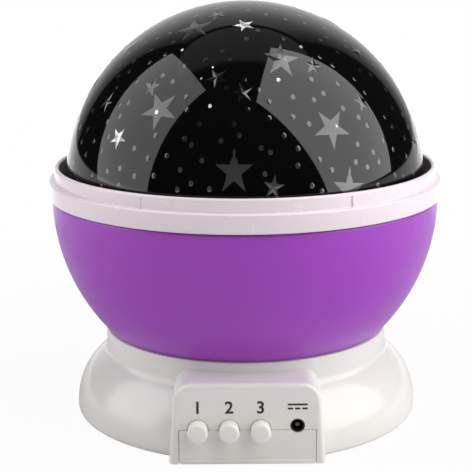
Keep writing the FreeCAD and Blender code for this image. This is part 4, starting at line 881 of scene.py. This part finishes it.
class PROJECTOR_OT_underside(bpy.types.Operator):
    """Finish the bottom cover, its door, feet and screws"""
    bl_idname = "projector.underside"
    bl_label = "Underside"

    def execute(self, context):
        base = finish_of("base_plastic", moulded(colours().base, 0.22, coat=0.25, shift=0.03))
        dress_node("base_floor", base)
        front, foot = SHELL_LOW.y / MM, SHELL_LOW.z / MM
        sill = brick("panel_sill", (-20.6, front - 0.25, foot + 0.05), (20.6, front + 0.6, foot + 1.5))
        modified(sill, "BEVEL", width=0.2 * MM, segments=3)
        dress(smooth(sill), "base", base)
        dress_node("battery_door", finish_of("door_plastic", moulded(colours().base, 0.3, grain=0.6)))
        dress_node("rubber_feet", finish_of("foot_rubber", rubber))
        steel = finish_of("screw_steel", metal((0.5, 0.5, 0.52), 0.3))
        for name in ("floor_screws", "door_screw"):
            dress_node(name, steel)
        return {"FINISHED"}


class PROJECTOR_OT_works(bpy.types.Operator):
    """Finish the inner works: gears, motor, column, lamps, boards, cells and leads"""
    bl_idname = "projector.works"
    bl_label = "Inner works"

    def execute(self, context):
        steel = finish_of("screw_steel", metal((0.5, 0.5, 0.52), 0.3))
        nickel = finish_of("contact_nickel", metal((0.66, 0.64, 0.6), 0.22))
        pale = finish_of("inner_plastic", moulded((0.72, 0.71, 0.68), 0.45))
        acetal = finish_of("gear_acetal", moulded((0.8, 0.79, 0.74), 0.35))
        dark = finish_of("dark_plastic", moulded((0.02, 0.02, 0.02), 0.35))
        finishes = {
            "gear_screws": steel, "motor_shaft": steel, "plate_screws": steel, "motor_screws": steel,
            "column_screws": steel, "lamp_board_screws": steel, "board_screws": steel,
            "leaf_contacts": nickel, "flat_contacts": nickel, "retaining_clip": nickel,
            "dc_jack_pin": finish_of("pin_steel", metal((0.14, 0.14, 0.14), 0.5)),
            "motor_can": finish_of("motor_steel", metal((0.45, 0.45, 0.47), 0.35, 400.0)),
            "hub_bush": finish_of("bush_brass", metal((0.6, 0.42, 0.16), 0.25)),
            "light_tray": pale, "motor_plate": pale, "centre_column": pale, "lamp_holder": pale,
            "turntable_gear": acetal, "drive_pinion": acetal,
            "motor_gearbox": dark, "tact_switches": dark, "dc_jack": dark,
            "thrust_washer": finish_of("washer_plastic", moulded((0.12, 0.12, 0.12), 0.4)),
            "lamp_board": finish_of("board_laminate", laminate),
            "control_board": finish_of("board_laminate", laminate),
            "lamps": finish_of("lamp_resin", moulded((0.7, 0.7, 0.68), 0.1)),
            "lamp_lens": finish_of("lens_frost", moulded((0.8, 0.79, 0.76), 0.6, grain=0.8)),
            "battery_cells": finish_of("cell_jacket", cell_jacket),
            "lamp_lead": finish_of("lead_jacket", moulded((0.03, 0.03, 0.032), 0.4)),
            "motor_lead": finish_of("lead_jacket", moulded((0.03, 0.03, 0.032), 0.4)),
        }
        for name, finish in finishes.items():
            dress_node(name, finish)
        return {"FINISHED"}


class PROJECTOR_OT_studio(bpy.types.Operator):
    """Set the pale floor, two softboxes, the soft room and the camera"""
    bl_idname = "projector.studio"
    bl_label = "Studio"

    def execute(self, context):
        scene, studio = context.scene, context.scene.projector_studio
        clear()
        bpy.ops.mesh.primitive_circle_add(vertices=96, radius=0.3, fill_type="NGON", location=(0, 0, 0))
        floor = bpy.context.object
        floor.name = "floor"
        material = bpy.data.materials.new("floor_paper")
        paint = Paint(material)
        shader = paint.tree.nodes["Principled BSDF"]
        paint.fill(shader, {"Base Color": (0.7, 0.7, 0.7), "Roughness": 0.9})
        place = paint.place()
        reach = paint.node("ShaderNodeVectorMath", {"operation": "LENGTH"}, {0: place})[1]
        away = paint.ramp(reach, 0.14, 0.29)
        seen = paint.node("ShaderNodeLightPath")[0]
        white = paint.node("ShaderNodeEmission", None, {"Color": (1, 1, 1), "Strength": 1.0})[0]
        share = seen * (0.95 + 0.05 * away)
        mixed = paint.node("ShaderNodeMixShader", None, {0: share, 1: Wire(paint, shader.outputs[0]), 2: white})[0]
        paint.tree.links.new(mixed.socket, paint.tree.nodes["Material Output"].inputs[0])
        floor.data.materials.append(material)

        for name, place, across, tall, side, rise, level in (
                ("left_softbox", (-0.770, -0.049, 0.558), 0.818, 1.169,
                 (0.237, -0.971, 0.024), (0.482, 0.139, 0.865), studio.left_light),
                ("right_softbox", (0.627, -0.273, 0.721), 1.029, 1.523,
                 (0.108, 0.993, 0.039), (-0.538, 0.025, 0.843), studio.right_light)):
            lamp = bpy.data.lights.new(name, "AREA")
            lamp.shape, lamp.size, lamp.size_y = "RECTANGLE", across, tall
            lamp.energy = level * math.pi * across * tall
            box = bpy.data.objects.new(name, lamp)
            scene.collection.objects.link(box)
            side = Vector(side).normalized()
            back = side.cross(Vector(rise)).normalized()
            rise = back.cross(side)
            box.matrix_world = Matrix.Translation(place) @ Matrix((side, rise, back)).transposed().to_4x4()
            box.visible_camera = False

        world = bpy.data.worlds.new("studio_room")
        scene.world = world
        paint = Paint(world)
        rays = paint.node("ShaderNodeLightPath")
        way = paint.node("ShaderNodeTexCoord")[0]
        across, depth, height = paint.node("ShaderNodeSeparateXYZ", None, {"Vector": way})[:3]
        flat = across.maths("SQRT", across * across + depth * depth)
        behind = depth / (flat + 0.001)
        # What the gloss shows: paper behind, a dim ceiling over its edge, the pale floor, dark in front
        paper = paint.ramp(behind, 0.75, 0.785) * (0.2 + 0.64 * paint.ramp(behind, 0.766, 1.0))
        paper = paper * (1 - 0.45 * paint.ramp(height, 0.45, 0.82)) * (1 - paint.ramp(height, 0.81, 0.83))
        ceiling = 0.26 * paint.ramp(height, 0.84, 0.855) * paint.ramp(depth, -0.05, 0.05)
        below = 1 - paint.ramp(height, -0.02, 0.0)
        mirrored = 0.015 + paper + ceiling + 0.9 * below
        soft = 0.6 * below + studio.fill * (0.8 + 0.6 * paint.ramp(depth, 0.0, 0.5))
        level = rays[0] + (1 - rays[0]) * (rays[3] * mirrored + (1 - rays[3]) * soft)
        background = paint.tree.nodes["Background"]
        paint.fill(background, {"Color": (1, 1, 1), "Strength": level})

        camera = bpy.data.cameras.new("camera")
        camera.sensor_fit, camera.sensor_width = "HORIZONTAL", 36
        camera.lens = 1355 / 472 * 36
        camera.clip_start = 0.01
        holder = bpy.data.objects.new("camera", camera)
        scene.collection.objects.link(holder)
        pitch, roll = 0.231, -0.007
        ahead = Vector((0, math.cos(pitch), -math.sin(pitch)))
        level_up = Vector((0, math.sin(pitch), math.cos(pitch)))
        right = Vector((1, 0, 0)) * math.cos(roll) + level_up * math.sin(roll)
        up = level_up * math.cos(roll) - Vector((1, 0, 0)) * math.sin(roll)
        turn = Matrix((right, up, -ahead)).transposed().to_4x4()
        holder.matrix_world = Matrix.Translation((-0.00308, -0.4444, 0.1629)) @ turn
        scene.camera = holder
        scene.view_settings.view_transform = "Standard"
        return {"FINISHED"}


STEPS = ("star_dome", "star_windows", "rim_ring", "bowl", "base_shell", "push_buttons", "panel_marks",
         "underside", "works", "studio")


class PROJECTOR_PT_sidebar(bpy.types.Panel):
    bl_idname = "PROJECTOR_PT_sidebar"
    bl_label = "Projector"
    bl_space_type = "VIEW_3D"
    bl_region_type = "UI"
    bl_category = "Projector"

    def draw(self, context):
        scene, layout = context.scene, self.layout
        for group in (scene.projector_sizes, scene.projector_colours, scene.projector_studio):
            box = layout.box()
            for name in group.__annotations__:
                box.prop(group, name)
        for step in STEPS:
            layout.operator("projector." + step)


GROUPS = {"projector_sizes": ProjectorSizes, "projector_colours": ProjectorColours,
          "projector_studio": ProjectorStudio}
CLASSES = (*GROUPS.values(), PROJECTOR_OT_star_dome, PROJECTOR_OT_star_windows, PROJECTOR_OT_rim_ring,
           PROJECTOR_OT_bowl, PROJECTOR_OT_base_shell, PROJECTOR_OT_push_buttons, PROJECTOR_OT_panel_marks,
           PROJECTOR_OT_underside, PROJECTOR_OT_works, PROJECTOR_OT_studio, PROJECTOR_PT_sidebar)


def register():
    for one in CLASSES:
        bpy.utils.register_class(one)
    for name, group in GROUPS.items():
        setattr(bpy.types.Scene, name, PointerProperty(type=group))


def unregister():
    for name in GROUPS:
        delattr(bpy.types.Scene, name)
    for one in reversed(CLASSES):
        bpy.utils.unregister_class(one)


def main():
    register()
    for step in STEPS:
        getattr(bpy.ops.projector, step)()


if __name__ == "__main__":
    main()
